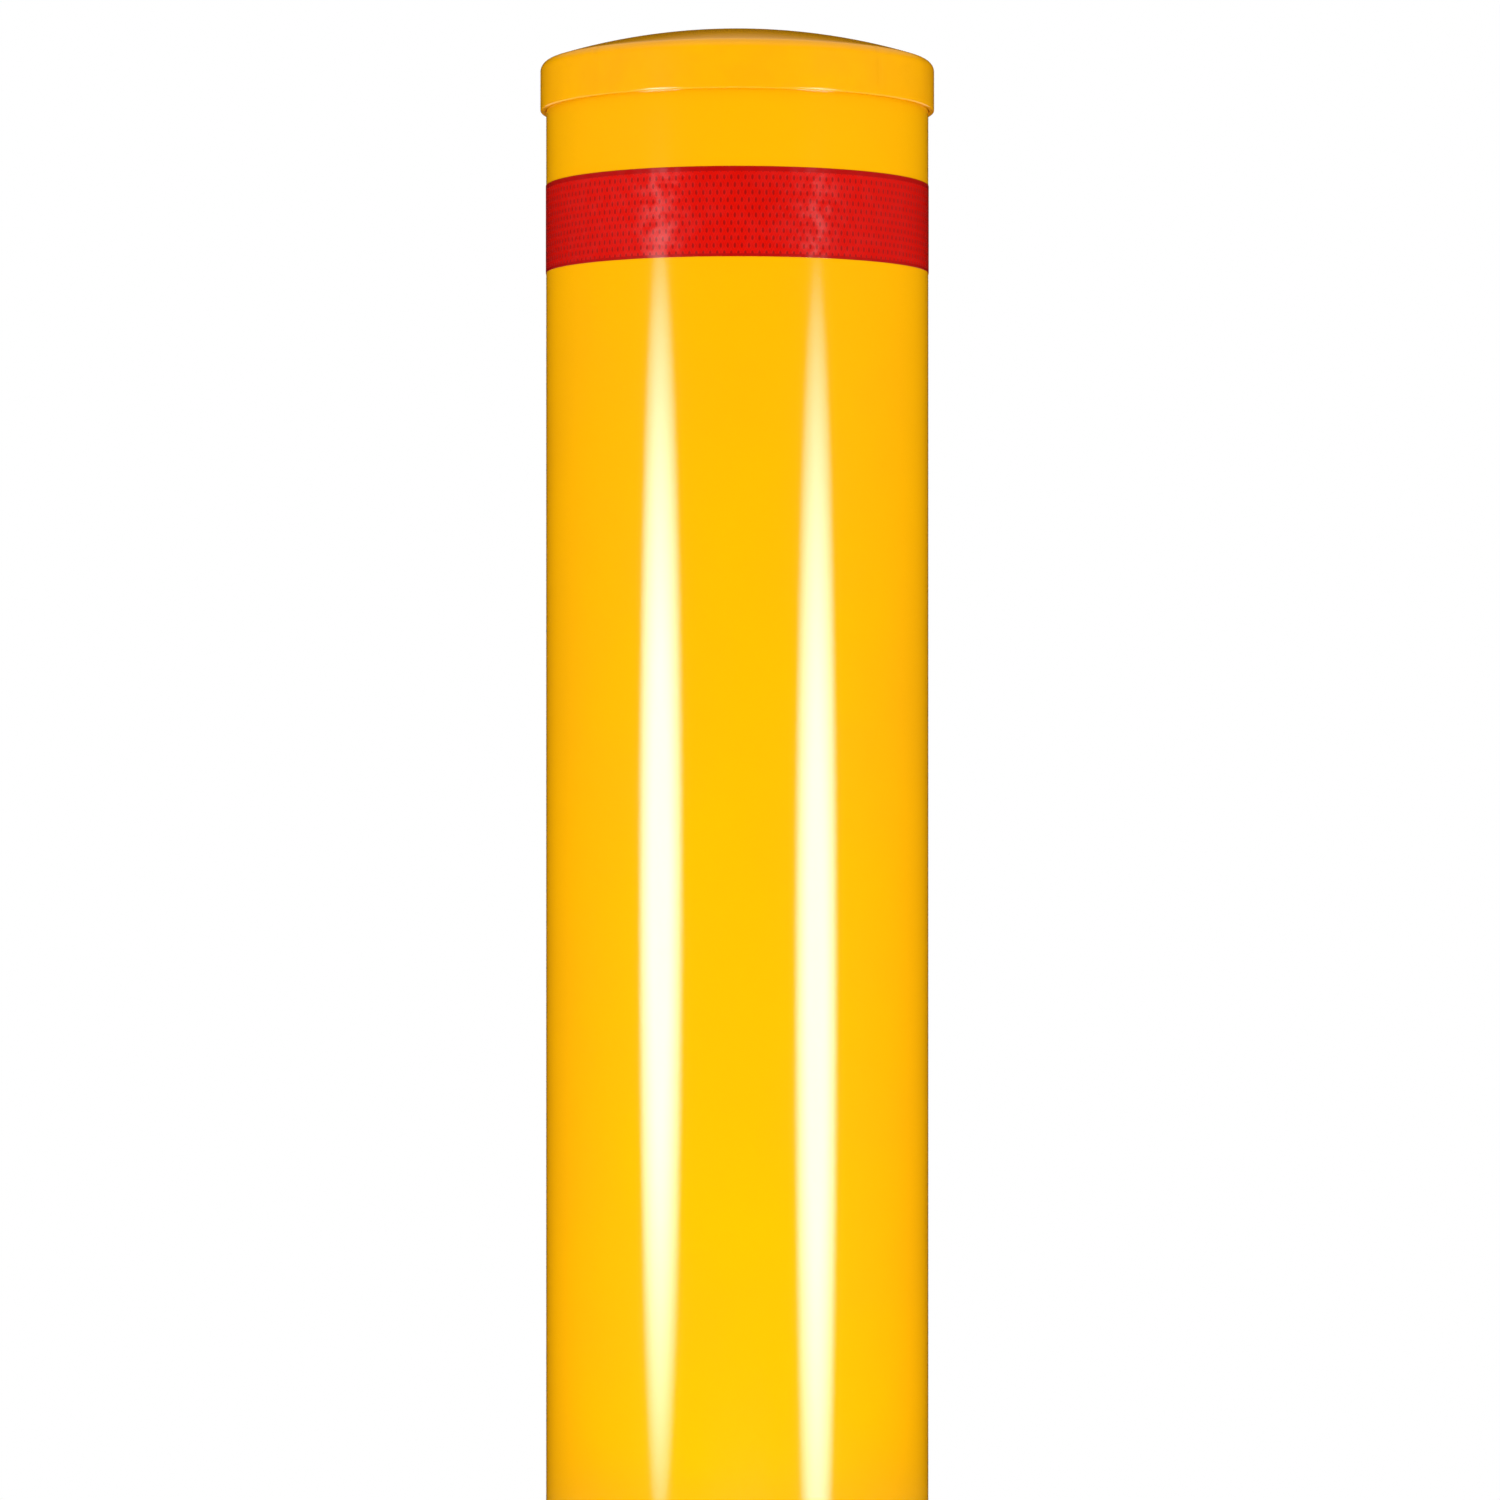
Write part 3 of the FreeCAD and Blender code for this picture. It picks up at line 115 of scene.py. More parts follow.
def radiusOf(tree, place):
    across = sums(tree, "POWER", place["X"], 2.0)
    along = sums(tree, "POWER", place["Y"], 2.0)
    return sums(tree, "SQRT", sums(tree, "ADD", across, along))


def startGroup(name, inputs, outputs):
    group = bpy.data.node_groups.new(name, "ShaderNodeTree")
    for label, start in inputs.items():
        socket = group.interface.new_socket(name=label, in_out="INPUT", socket_type="NodeSocketFloat")
        socket.default_value = start
    for label in outputs:
        group.interface.new_socket(name=label, in_out="OUTPUT", socket_type="NodeSocketFloat")
    return group, group.nodes.new("NodeGroupInput").outputs, group.nodes.new("NodeGroupOutput").inputs


def placeGroup(tree, group, **values):
    node = tree.nodes.new("ShaderNodeGroup")
    node.node_tree = group
    for label, source in values.items():
        feed(tree, node.inputs[label], source)
    return node.outputs


# effects that several finishes share, each a group that is made once
def makeSurfaceGrain():
    # fine bumps of one size, and broad patches about forty times as large
    group, given, result = startGroup("surfaceGrain", {"Size": 0.002}, ["Height", "Patches"])
    place = objectPlace(group)
    scale = sums(group, "DIVIDE", 1.0, given["Size"])
    fine = addNode(group, "TexNoise", {"Vector": place, "Scale": scale, "Detail": 2.0})
    wide = sums(group, "MULTIPLY", scale, 0.025)
    broad = addNode(group, "TexNoise", {"Vector": place, "Scale": wide, "Detail": 4.0})
    group.links.new(fine.outputs["Fac"], result["Height"])
    group.links.new(remap(group, broad.outputs["Fac"], 0.0, 1.0, 0.3, 0.7), result["Patches"])
    return group


# how slowly a turned line changes as it goes round
lineSweep = 0.0004


def makeTurnedLines():
    # lines left by turning or brushing round the upright axis
    group, given, result = startGroup("turnedLines", {"Pitch": 0.0006}, ["Height", "Tone"])
    place = axesOf(group, objectPlace(group))
    angle = sums(group, "ARCTAN2", place["Y"], place["X"])
    sweep = sums(group, "MULTIPLY", angle, lineSweep)
    spot = addNode(group, "CombineXYZ", {"X": radiusOf(group, place), "Y": place["Z"], "Z": sweep})
    scale = sums(group, "DIVIDE", 1.0, given["Pitch"])
    lines = addNode(group, "TexNoise", {"Vector": spot.outputs[0], "Scale": scale, "Detail": 3.0})
    group.links.new(lines.outputs["Fac"], result["Height"])
    group.links.new(remap(group, lines.outputs["Fac"], 0.0, 1.0, 0.35, 0.65), result["Tone"])
    return group


def makeSpangle():
    # the frosted crystals of a zinc bath
    group, given, result = startGroup("spangle", {"Size": 0.012}, ["Height", "Tone"])
    place = objectPlace(group)
    scale = sums(group, "DIVIDE", 1.0, given["Size"])
    wander = addNode(group, "TexNoise", {"Vector": place, "Scale": scale, "Detail": 2.0})
    mixed = addNode(group, "Mix", data_type="VECTOR")
    feed(group, mixed.inputs[0], 0.006)
    feed(group, mixed.inputs[4], place)
    feed(group, mixed.inputs[5], wander.outputs["Color"])
    cells = addNode(group, "TexVoronoi", {"Vector": mixed.outputs[1], "Scale": scale})
    tone = addNode(group, "SeparateColor", {"Color": cells.outputs["Color"]})
    group.links.new(cells.outputs["Distance"], result["Height"])
    group.links.new(tone.outputs["Red"], result["Tone"])
    return group


def makeSiteDirt():
    # dust and grout that gather below a level, in patches
    inputs = {"Level": 0.0, "Reach": 0.05, "Amount": 0.5, "Size": 0.03}
    group, given, result = startGroup("siteDirt", inputs, ["Mask"])
    place = objectPlace(group)
    height = axesOf(group, place)["Z"]
    below = sums(group, "DIVIDE", sums(group, "SUBTRACT", given["Level"], height), given["Reach"])
    scale = sums(group, "DIVIDE", 1.0, given["Size"])
    patches = addNode(group, "TexNoise", {"Vector": place, "Scale": scale, "Detail": 6.0, "Roughness": 0.65})
    spread = remap(group, patches.outputs["Fac"], 0.0, 1.0, 0.42, 0.68)
    depth = addNode(group, "Clamp", {"Value": below}).outputs[0]
    mask = sums(group, "MULTIPLY", sums(group, "MULTIPLY", spread, depth), given["Amount"])
    group.links.new(mask, result["Mask"])
    return group


def makeScuffs():
    # sparse hairline scratches
    group, given, result = startGroup("scuffs", {"Size": 0.03, "Amount": 0.5}, ["Mask"])
    place = objectPlace(group)
    lay = {"Vector": place, "Rotation": (0.4, 0.9, 0.3), "Scale": (14.0, 1.0, 1.2)}
    stretch = addNode(group, "Mapping", lay)
    scale = sums(group, "DIVIDE", 1.0, given["Size"])
    hairs = addNode(group, "TexNoise", {"Vector": stretch.outputs[0], "Scale": scale, "Detail": 5.0})
    thin = remap(group, hairs.outputs["Fac"], 0.0, 1.0, 0.66, 0.72)
    group.links.new(sums(group, "MULTIPLY", thin, given["Amount"]), result["Mask"])
    return group


surfaceGrain = makeSurfaceGrain()
turnedLines = makeTurnedLines()
spangle = makeSpangle()
siteDirt = makeSiteDirt()
scuffs = makeScuffs()
print("shared effects made")


def startFinish(name, fixed):
    material = bpy.data.materials.new(name)
    material.use_nodes = True
    shader = material.node_tree.nodes["Principled BSDF"]
    for label, setting in fixed.items():
        shader.inputs[label].default_value = setting
    return material, material.node_tree, shader.inputs


def roughen(tree, shader, height):
    bump = addNode(tree, "Bump", {"Height": height, "Strength": 1.0, "Distance": 1.0})
    feed(tree, shader["Normal"], bump.outputs[0])


# how far each shared effect changes the tone and the roughness under it
effectDepth = {
    "lineRough": 0.3,
    "frostTone": 0.6,
    "frostRough": 0.14,
    "hairSize": 0.03,
    "hairRough": 0.25,
    "dirtRough": 0.5,
}


def makeFinish(name, look):
    # a base of two close colours with grain, and whichever effects its dictionary names
    material, tree, shader = startFinish(name, look.get("fixed", {}))
    grain = placeGroup(tree, surfaceGrain, Size=look["grainSize"])
    height = sums(tree, "MULTIPLY", grain["Height"], look["grainDepth"])
    colour = blendColours(tree, grain["Patches"], look["colour"], look["second"])
    roughness = remap(tree, grain["Patches"], *look["roughness"])
    metallic = look.get("metallic", 0.0)
    if "lineDepth" in look:
        lines = placeGroup(tree, turnedLines, Pitch=look["linePitch"])
        height = sums(tree, "MULTIPLY_ADD", lines["Height"], look["lineDepth"], height)
        shade = sums(tree, "MULTIPLY", lines["Tone"], look["lineTone"])
        colour = blendColours(tree, shade, colour, look["second"])
        streak = look["lineTone"] * effectDepth["lineRough"]
        roughness = sums(tree, "MULTIPLY_ADD", lines["Tone"], streak, roughness)
    if "crystal" in look:
        frost = placeGroup(tree, spangle, Size=look["crystal"])
        height = sums(tree, "MULTIPLY_ADD", frost["Height"], look["crystalDepth"], height)
        shade = sums(tree, "MULTIPLY", frost["Tone"], effectDepth["frostTone"])
        colour = blendColours(tree, shade, colour, look["frost"])
        roughness = sums(tree, "MULTIPLY_ADD", frost["Tone"], effectDepth["frostRough"], roughness)
    if "scratch" in look:
        hairs = placeGroup(tree, scuffs, Size=effectDepth["hairSize"], Amount=look["scratch"])["Mask"]
        colour = blendColours(tree, hairs, colour, look["scratchColour"])
        roughness = sums(tree, "MULTIPLY_ADD", hairs, effectDepth["hairRough"], roughness)
    if "dirt" in look:
        spread = {"Level": look["dirtLevel"], "Reach": look["dirtReach"], "Amount": look["dirt"]}
        dirt = placeGroup(tree, siteDirt, **spread)["Mask"]
        colour = blendColours(tree, dirt, colour, look["dirtColour"])
        roughness = sums(tree, "MULTIPLY_ADD", dirt, effectDepth["dirtRough"], roughness)
        if metallic:
            metallic = sums(tree, "MULTIPLY", sums(tree, "SUBTRACT", 1.0, dirt), metallic)
    feed(tree, shader["Base Color"], colour)
    feed(tree, shader["Roughness"], roughness)
    feed(tree, shader["Metallic"], metallic)
    roughen(tree, shader, height)
    return material


powderCoat = {
    "colour": (0.93, 0.425, 0.0, 1),
    "second": (0.90, 0.405, 0.0, 1),
    "roughness": (0.06, 0.085),
    "grainSize": 0.0022,
    "grainDepth": 0.000012,
}
capMoulding = {
    "fixed": {"Specular IOR Level": 0.40},
    "colour": (0.93, 0.41, 0.0, 1),
    "second": (0.88, 0.375, 0.0, 1),
    "roughness": (0.09, 0.12),
    "grainSize": 0.0007,
    "grainDepth": 0.000012,
    "scratch": 0.08,
    "scratchColour": (0.93, 0.47, 0.01, 1),
}
zincBath = {
    "colour": (0.47, 0.49, 0.50, 1),
    "second": (0.40, 0.42, 0.43, 1),
    "frost": (0.62, 0.64, 0.65, 1),
    "roughness": (0.40, 0.52),
    "metallic": 0.85,
    "grainSize": 0.0012,
    "grainDepth": 0.00004,
    "crystal": 0.011,
    "crystalDepth": 0.00006,
    "dirt": 0.75,
    "dirtLevel": -0.03,
    "dirtReach": 0.5,
    "dirtColour": (0.30, 0.27, 0.23, 1),
}
brushedStainless = {
    "colour": (0.66, 0.65, 0.63, 1),
    "second": (0.52, 0.51, 0.50, 1),
    "roughness": (0.26, 0.34),
    "metallic": 1.0,
    "grainSize": 0.0015,
    "grainDepth": 0.00001,
    "linePitch": 0.0005,
    "lineDepth": 0.00003,
    "lineTone": 0.35,
    "scratch": 0.35,
    "scratchColour": (0.80, 0.80, 0.78, 1),
    "dirt": 0.35,
    "dirtLevel": 0.02,
    "dirtReach": 0.02,
    "dirtColour": (0.33, 0.29, 0.23, 1),
}
brightZinc = {
    "colour": (0.66, 0.67, 0.70, 1),
    "second": (0.50, 0.51, 0.53, 1),
    "roughness": (0.24, 0.38),
    "metallic": 1.0,
    "grainSize": 0.0006,
    "grainDepth": 0.00001,
    "scratch": 0.4,
    "scratchColour": (0.78, 0.78, 0.80, 1),
    "dirt": 0.4,
    "dirtLevel": 0.02,
    "dirtReach": 0.03,
    "dirtColour": (0.28, 0.25, 0.20, 1),
}
machinedSteel = {
    "colour": (0.50, 0.49, 0.48, 1),
    "second": (0.36, 0.35, 0.34, 1),
    "roughness": (0.28, 0.42),
    "metallic": 1.0,
    "grainSize": 0.001,
    "grainDepth": 0.00001,
    "linePitch": 0.0004,
    "lineDepth": 0.00003,
    "lineTone": 0.5,
    "scratch": 0.3,
    "scratchColour": (0.66, 0.66, 0.66, 1),
}
mildBar = {
    "colour": (0.17, 0.085, 0.045, 1),
    "second": (0.11, 0.10, 0.095, 1),
    "roughness": (0.62, 0.85),
    "metallic": 0.35,
    "grainSize": 0.0008,
    "grainDepth": 0.0001,
    "dirt": 0.5,
    "dirtLevel": -0.1,
    "dirtReach": 0.2,
    "dirtColour": (0.26, 0.23, 0.19, 1),
}
blackEnamel = {
    "colour": (0.016, 0.016, 0.017, 1),
    "second": (0.024, 0.024, 0.025, 1),
    "roughness": (0.20, 0.30),
    "grainSize": 0.002,
    "grainDepth": 0.00002,
    "scratch": 0.4,
    "scratchColour": (0.09, 0.09, 0.09, 1),
}
hardChrome = {
    "colour": (0.80, 0.81, 0.82, 1),
    "second": (0.72, 0.73, 0.74, 1),
    "roughness": (0.05, 0.10),
    "metallic": 1.0,
    "grainSize": 0.002,
    "grainDepth": 0.000002,
    "linePitch": 0.0003,
    "lineDepth": 0.000004,
    "lineTone": 0.15,
}
bearingPolymer = {
    "colour": (0.74, 0.71, 0.60, 1),
    "second": (0.66, 0.63, 0.52, 1),
    "roughness": (0.38, 0.5),
    "grainSize": 0.001,
    "grainDepth": 0.00001,
    "linePitch": 0.0006,
    "lineDepth": 0.00004,
    "lineTone": 0.3,
}
blackRubber = {
    "colour": (0.018, 0.018, 0.018, 1),
    "second": (0.035, 0.034, 0.032, 1),
    "roughness": (0.62, 0.82),
    "grainSize": 0.0006,
    "grainDepth": 0.00003,
    "dirt": 0.3,
    "dirtLevel": 0.02,
    "dirtReach": 0.04,
    "dirtColour": (0.17, 0.15, 0.12, 1),
}
brassTurned = {
    "colour": (0.75, 0.52, 0.20, 1),
    "second": (0.54, 0.36, 0.13, 1),
    "roughness": (0.22, 0.36),
    "metallic": 1.0,
    "grainSize": 0.0008,
    "grainDepth": 0.00001,
    "linePitch": 0.0003,
    "lineDepth": 0.00002,
    "lineTone": 0.35,
}
treadPlate = {
    "grooveInner": 0.121,
    "grooveOuter": 0.160,
    "groovePitch": 0.0049,
    "grooveDepth": 0.0008,
    "grooveWidth": 0.22,
    "grooveShade": 0.7,
    "grooveShadowColour": (0.16, 0.15, 0.13, 1),
}


def makeTreadPlate():
    # brushed stainless with turned anti-slip grooves between the bore and the screws, each groove darkened
    # with painted shade
    material = makeFinish("groovedStainless", brushedStainless)
    tree = material.node_tree
    shader = tree.nodes["Principled BSDF"].inputs
    radius = radiusOf(tree, axesOf(tree, objectPlace(tree)))
    inside = sums(tree, "GREATER_THAN", radius, treadPlate["grooveInner"])
    within = sums(tree, "LESS_THAN", radius, treadPlate["grooveOuter"])
    past = sums(tree, "SUBTRACT", radius, treadPlate["grooveInner"])
    wave = sums(tree, "PINGPONG", sums(tree, "DIVIDE", past, treadPlate["groovePitch"]), 0.5)
    groove = remap(tree, wave, 1.0, 0.0, 0.0, treadPlate["grooveWidth"])
    groove = sums(tree, "MULTIPLY", groove, sums(tree, "MULTIPLY", inside, within))
    bump = shader["Normal"].links[0].from_node
    plain = bump.inputs["Height"].links[0].from_socket
    feed(tree, bump.inputs["Height"], sums(tree, "MULTIPLY_ADD", groove, -treadPlate["grooveDepth"], plain))
    # painted shade: the grooves are only bumps, so their colour is darkened to stand in for the shadow
    # inside them
    colour = shader["Base Color"].links[0].from_socket
    shade = sums(tree, "MULTIPLY", groove, treadPlate["grooveShade"])
    feed(tree, shader["Base Color"], blendColours(tree, shade, colour, treadPlate["grooveShadowColour"]))
    return material


redFilm = {
    "fixed": {"Coat Weight": 0.7, "Specular IOR Level": 0.04},
    "colour": (0.66, 0.0035, 0.0, 1),
    "dot": (0.24, 0.001, 0.0, 1),
    "border": (0.40, 0.002, 0.001, 1),
    "roughness": (0.24, 0.5),
    "across": 0.0039,
    "upright": 0.0084,
    "dotEdge": (1.25, 1.7),
    "dotTone": 0.8,
    "dotDepth": -0.00006,
    "webEdge": 0.35,
    "webTone": 0.35,
    "patchTone": 0.25,
    "grainSize": 0.0016,
    "grainDepth": 0.00001,
    "topBorder": 0.0029,
    "lowBorder": 0.0018,
    "borderBlur": 0.0003,
    "cockleSize": 0.007,
    "cockleDepth": 0.0003,
    "cockleGloss": (0.06, 0.17, 0.35, 0.65),
}


def makeRedFilm():
    # prismatic tape: a staggered lattice of seal dots under clear film, with a plain edge above and below
    material, tree, shader = startFinish("redFilm", redFilm["fixed"])
    low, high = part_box("reflective_band")
    place = axesOf(tree, objectPlace(tree))
    angle = sums(tree, "ARCTAN2", place["Y"], place["X"])
    along = sums(tree, "MULTIPLY", angle, high.x * 2 * math.pi / redFilm["across"])
    up = sums(tree, "MULTIPLY", place["Z"], 2 * math.pi / redFilm["upright"])
    wave = sums(tree, "ADD", sums(tree, "COSINE", along), sums(tree, "COSINE", up))
    depth = sums(tree, "ABSOLUTE", wave)
    dots = remap(tree, depth, 0.0, 1.0, *redFilm["dotEdge"])
    webs = remap(tree, depth, 1.0, 0.0, 0.0, redFilm["webEdge"])
    topEdge = high.z - redFilm["topBorder"]
    lowEdge = low.z + redFilm["lowBorder"]
    above = remap(tree, place["Z"], 0.0, 1.0, topEdge, topEdge + redFilm["borderBlur"])
    below = remap(tree, place["Z"], 1.0, 0.0, lowEdge - redFilm["borderBlur"], lowEdge)
    edge = sums(tree, "MAXIMUM", above, below)
    inner = sums(tree, "SUBTRACT", 1.0, edge)
    grain = placeGroup(tree, surfaceGrain, Size=redFilm["grainSize"])
    dotMask = sums(tree, "MULTIPLY", dots, inner)
    webMask = sums(tree, "MULTIPLY", sums(tree, "MULTIPLY", webs, inner), redFilm["webTone"])
    patchMask = sums(tree, "MULTIPLY", grain["Patches"], redFilm["patchTone"])
    colour = blendColours(tree, patchMask, redFilm["colour"], redFilm["border"])
    colour = blendColours(tree, webMask, colour, redFilm["border"])
    colour = blendColours(tree, sums(tree, "MULTIPLY", dotMask, redFilm["dotTone"]), colour, redFilm["dot"])
    colour = blendColours(tree, edge, colour, redFilm["border"])
    feed(tree, shader["Base Color"], colour)
    feed(tree, shader["Roughness"], remap(tree, dotMask, *redFilm["roughness"]))
    # the clear face cockles where it was pressed on, so a lamp breaks up in it
    cockles = placeGroup(tree, surfaceGrain, Size=redFilm["cockleSize"])
    feed(tree, shader["Coat Roughness"], remap(tree, cockles["Height"], *redFilm["cockleGloss"]))
    height = sums(tree, "MULTIPLY", dotMask, redFilm["dotDepth"])
    height = sums(tree, "MULTIPLY_ADD", grain["Height"], redFilm["grainDepth"], height)
    height = sums(tree, "MULTIPLY_ADD", cockles["Height"], redFilm["cockleDepth"], height)
    roughen(tree, shader, height)
    return material


finishes = {
    "yellow_powder_coat": makeFinish("powderCoat", powderCoat),
    "yellow_cap": makeFinish("capMoulding", capMoulding),
    "red_reflective": makeRedFilm(),
    "galvanised_steel": makeFinish("zincBath", zincBath),
    "stainless_steel": makeFinish("brushedStainless", brushedStainless),
    "zinc_fastener": makeFinish("brightZinc", brightZinc),
    "machined_steel": makeFinish("machinedSteel", machinedSteel),
    "reinforcing_bar": makeFinish("mildBar", mildBar),
    "black_cylinder": makeFinish("blackEnamel", blackEnamel),
    "chromed_rod": makeFinish("hardChrome", hardChrome),
    "bearing_polymer": makeFinish("bearingPolymer", bearingPolymer),
    "black_rubber": makeFinish("blackRubber", blackRubber),
    "brass": makeFinish("brassTurned", brassTurned),
}


def dress(piece, material):
    if not piece.material_slots:
        piece.data.materials.append(material)
    for slot in piece.material_slots:
        slot.material = material


for entry in frame["record"]["subparts"]:
    dress(nodes[entry["node"]], finishes[entry["material_slot"]])
dress(nodes["ground_ring"], makeTreadPlate())
print("finishes made:", len(finishes))


def clearSelection():
    if bpy.context.mode != "OBJECT":
        bpy.ops.object.mode_set(mode="OBJECT")
    bpy.ops.object.select_all(action="DESELECT")


def choose(piece):
    clearSelection()
    piece.select_set(True)
    bpy.context.view_layer.objects.active = piece


def arc(centre, level, radius, start, end, steps):
    turns = [math.radians(start + (end - start) * step / steps) for step in range(steps + 1)]
    return [(centre + radius * math.cos(turn), level + radius * math.sin(turn)) for turn in turns]


def turnProfile(profile, sides, closed=True):
    # a ring of edges drawn up and out, step by step, along a list of radius and height
    clearSelection()
    radius, level = profile[0]
    bpy.ops.mesh.primitive_circle_add(vertices=sides, radius=radius, location=(0, 0, level))
    bpy.ops.object.transform_apply(location=True, rotation=False, scale=False)
    piece = bpy.context.object
    bpy.ops.object.mode_set(mode="EDIT")
    bpy.ops.mesh.select_all(action="SELECT")
    for nextRadius, nextLevel in profile[1:] + (profile[:1] if closed else []):
        rise = (0, 0, nextLevel - level)
        bpy.ops.mesh.extrude_region_move(TRANSFORM_OT_translate={"value": rise})
        spread = nextRadius / radius
        bpy.ops.transform.resize(value=(spread, spread, 1), center_override=(0, 0, nextLevel))
        radius, level = nextRadius, nextLevel
    if not closed:
        bpy.ops.mesh.edge_face_add()
    bpy.ops.mesh.select_all(action="SELECT")
    bpy.ops.mesh.remove_doubles(threshold=0.000002)
    bpy.ops.mesh.normals_make_consistent(inside=False)
    bpy.ops.object.mode_set(mode="OBJECT")
    return piece


def pickPoints(piece, test):
    # selects the points of a mesh that pass a test, then opens it for editing
    choose(piece)
    bpy.ops.object.mode_set(mode="EDIT")
    bpy.ops.mesh.select_mode(type="VERT")
    bpy.ops.mesh.select_all(action="DESELECT")
    bpy.ops.object.mode_set(mode="OBJECT")
    for point in piece.data.vertices:
        point.select = test(point.co)
    bpy.ops.object.mode_set(mode="EDIT")


def turnedCopies(piece, angles):
    # copies a piece round the upright axis, each with its own mesh, and joins them
    copies = []
    for angle in angles:
        copy = piece.copy()
        copy.data = piece.data.copy()
        bpy.context.scene.collection.objects.link(copy)
        copy.data.transform(Matrix.Rotation(math.radians(angle), 4, "Z"))
        copies.append(copy)
    bpy.data.objects.remove(piece)
    choose(copies[0])
    for copy in copies:
        copy.select_set(True)
    bpy.ops.object.join()
    return bpy.context.object


smoothAngle = 38


def settle(piece, name, body, slotName, *replaced):
    choose(piece)
    bpy.ops.object.transform_apply(location=True, rotation=True, scale=True)
    bpy.ops.object.shade_smooth_by_angle(angle=math.radians(smoothAngle))
    piece.name = name
    piece.data.name = name
    piece.data.materials.clear()
    piece.data.materials.append(finishes[slotName])
    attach(piece, body)
    if replaced:
        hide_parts(*replaced)
    print("piece made:", name, len(piece.data.polygons), "faces")


def angleOf(point):
    return math.degrees(math.atan2(point.y, point.x))


tubeShape = {"sides": 240, "wall": 0.006, "endRound": 0.0008, "windowGap": 0.0005, "windowCut": 0.04}


def makePostTube():
    low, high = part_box("bollard_tube")
    outside = high.x
    inside = outside - tubeShape["wall"]
    soft = tubeShape["endRound"]
    profile = [(inside, low.z + soft), (inside + soft, low.z)]
    profile += [(outside - soft, low.z), (outside, low.z + soft)]
    profile += [(outside, high.z - soft), (outside - soft, high.z)]
    profile += [(inside + soft, high.z), (inside, high.z - soft)]
    tube = turnProfile(profile, tubeShape["sides"])
    for bolt, side in (("latch_bolt_right", 1), ("latch_bolt_left", -1)):
        boltLow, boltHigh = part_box(bolt)
        size = boltHigh - boltLow
        middle = (boltLow + boltHigh) / 2
        middle.x = side * outside
        clearSelection()
        bpy.ops.mesh.primitive_cube_add(size=1, location=middle)
        cutter = bpy.context.object
        gap = 2 * tubeShape["windowGap"]
        cutter.scale = (tubeShape["windowCut"], size.y + gap, size.z + gap)
        choose(tube)
        window = tube.modifiers.new("window", "BOOLEAN")
        window.object = cutter
        window.operation = "DIFFERENCE"
        window.solver = "EXACT"
        bpy.ops.object.modifier_apply(modifier=window.name)
        bpy.data.objects.remove(cutter)
    settle(tube, "postTube", "post", "yellow_powder_coat", "bollard_tube")


capShape = {
    "sides": 360,
    "wall": 0.003,
    "dome": 0.358,
    "corner": 0.0055,
    "lip": 0.0008,
    "neck": 0.0173,
    "floor": 0.0035,
    "boss": 0.038,
    "rim": 0.0004,
    "bezelGap": 0.0003,
    "markInner": 0.106,
    "markDepth": 0.0006,
    "markDrop": 0.006,
    "markReach": 0.007,
    "markTurn": 80,
    "ribStart": 45,
    "ribStep": 90,
    "ribThick": 0.003,
    "ribReach": 0.020,
    "ribBite": 0.0004,
    "ribSlope": 0.4,
    "ribTop": 0.6,
}


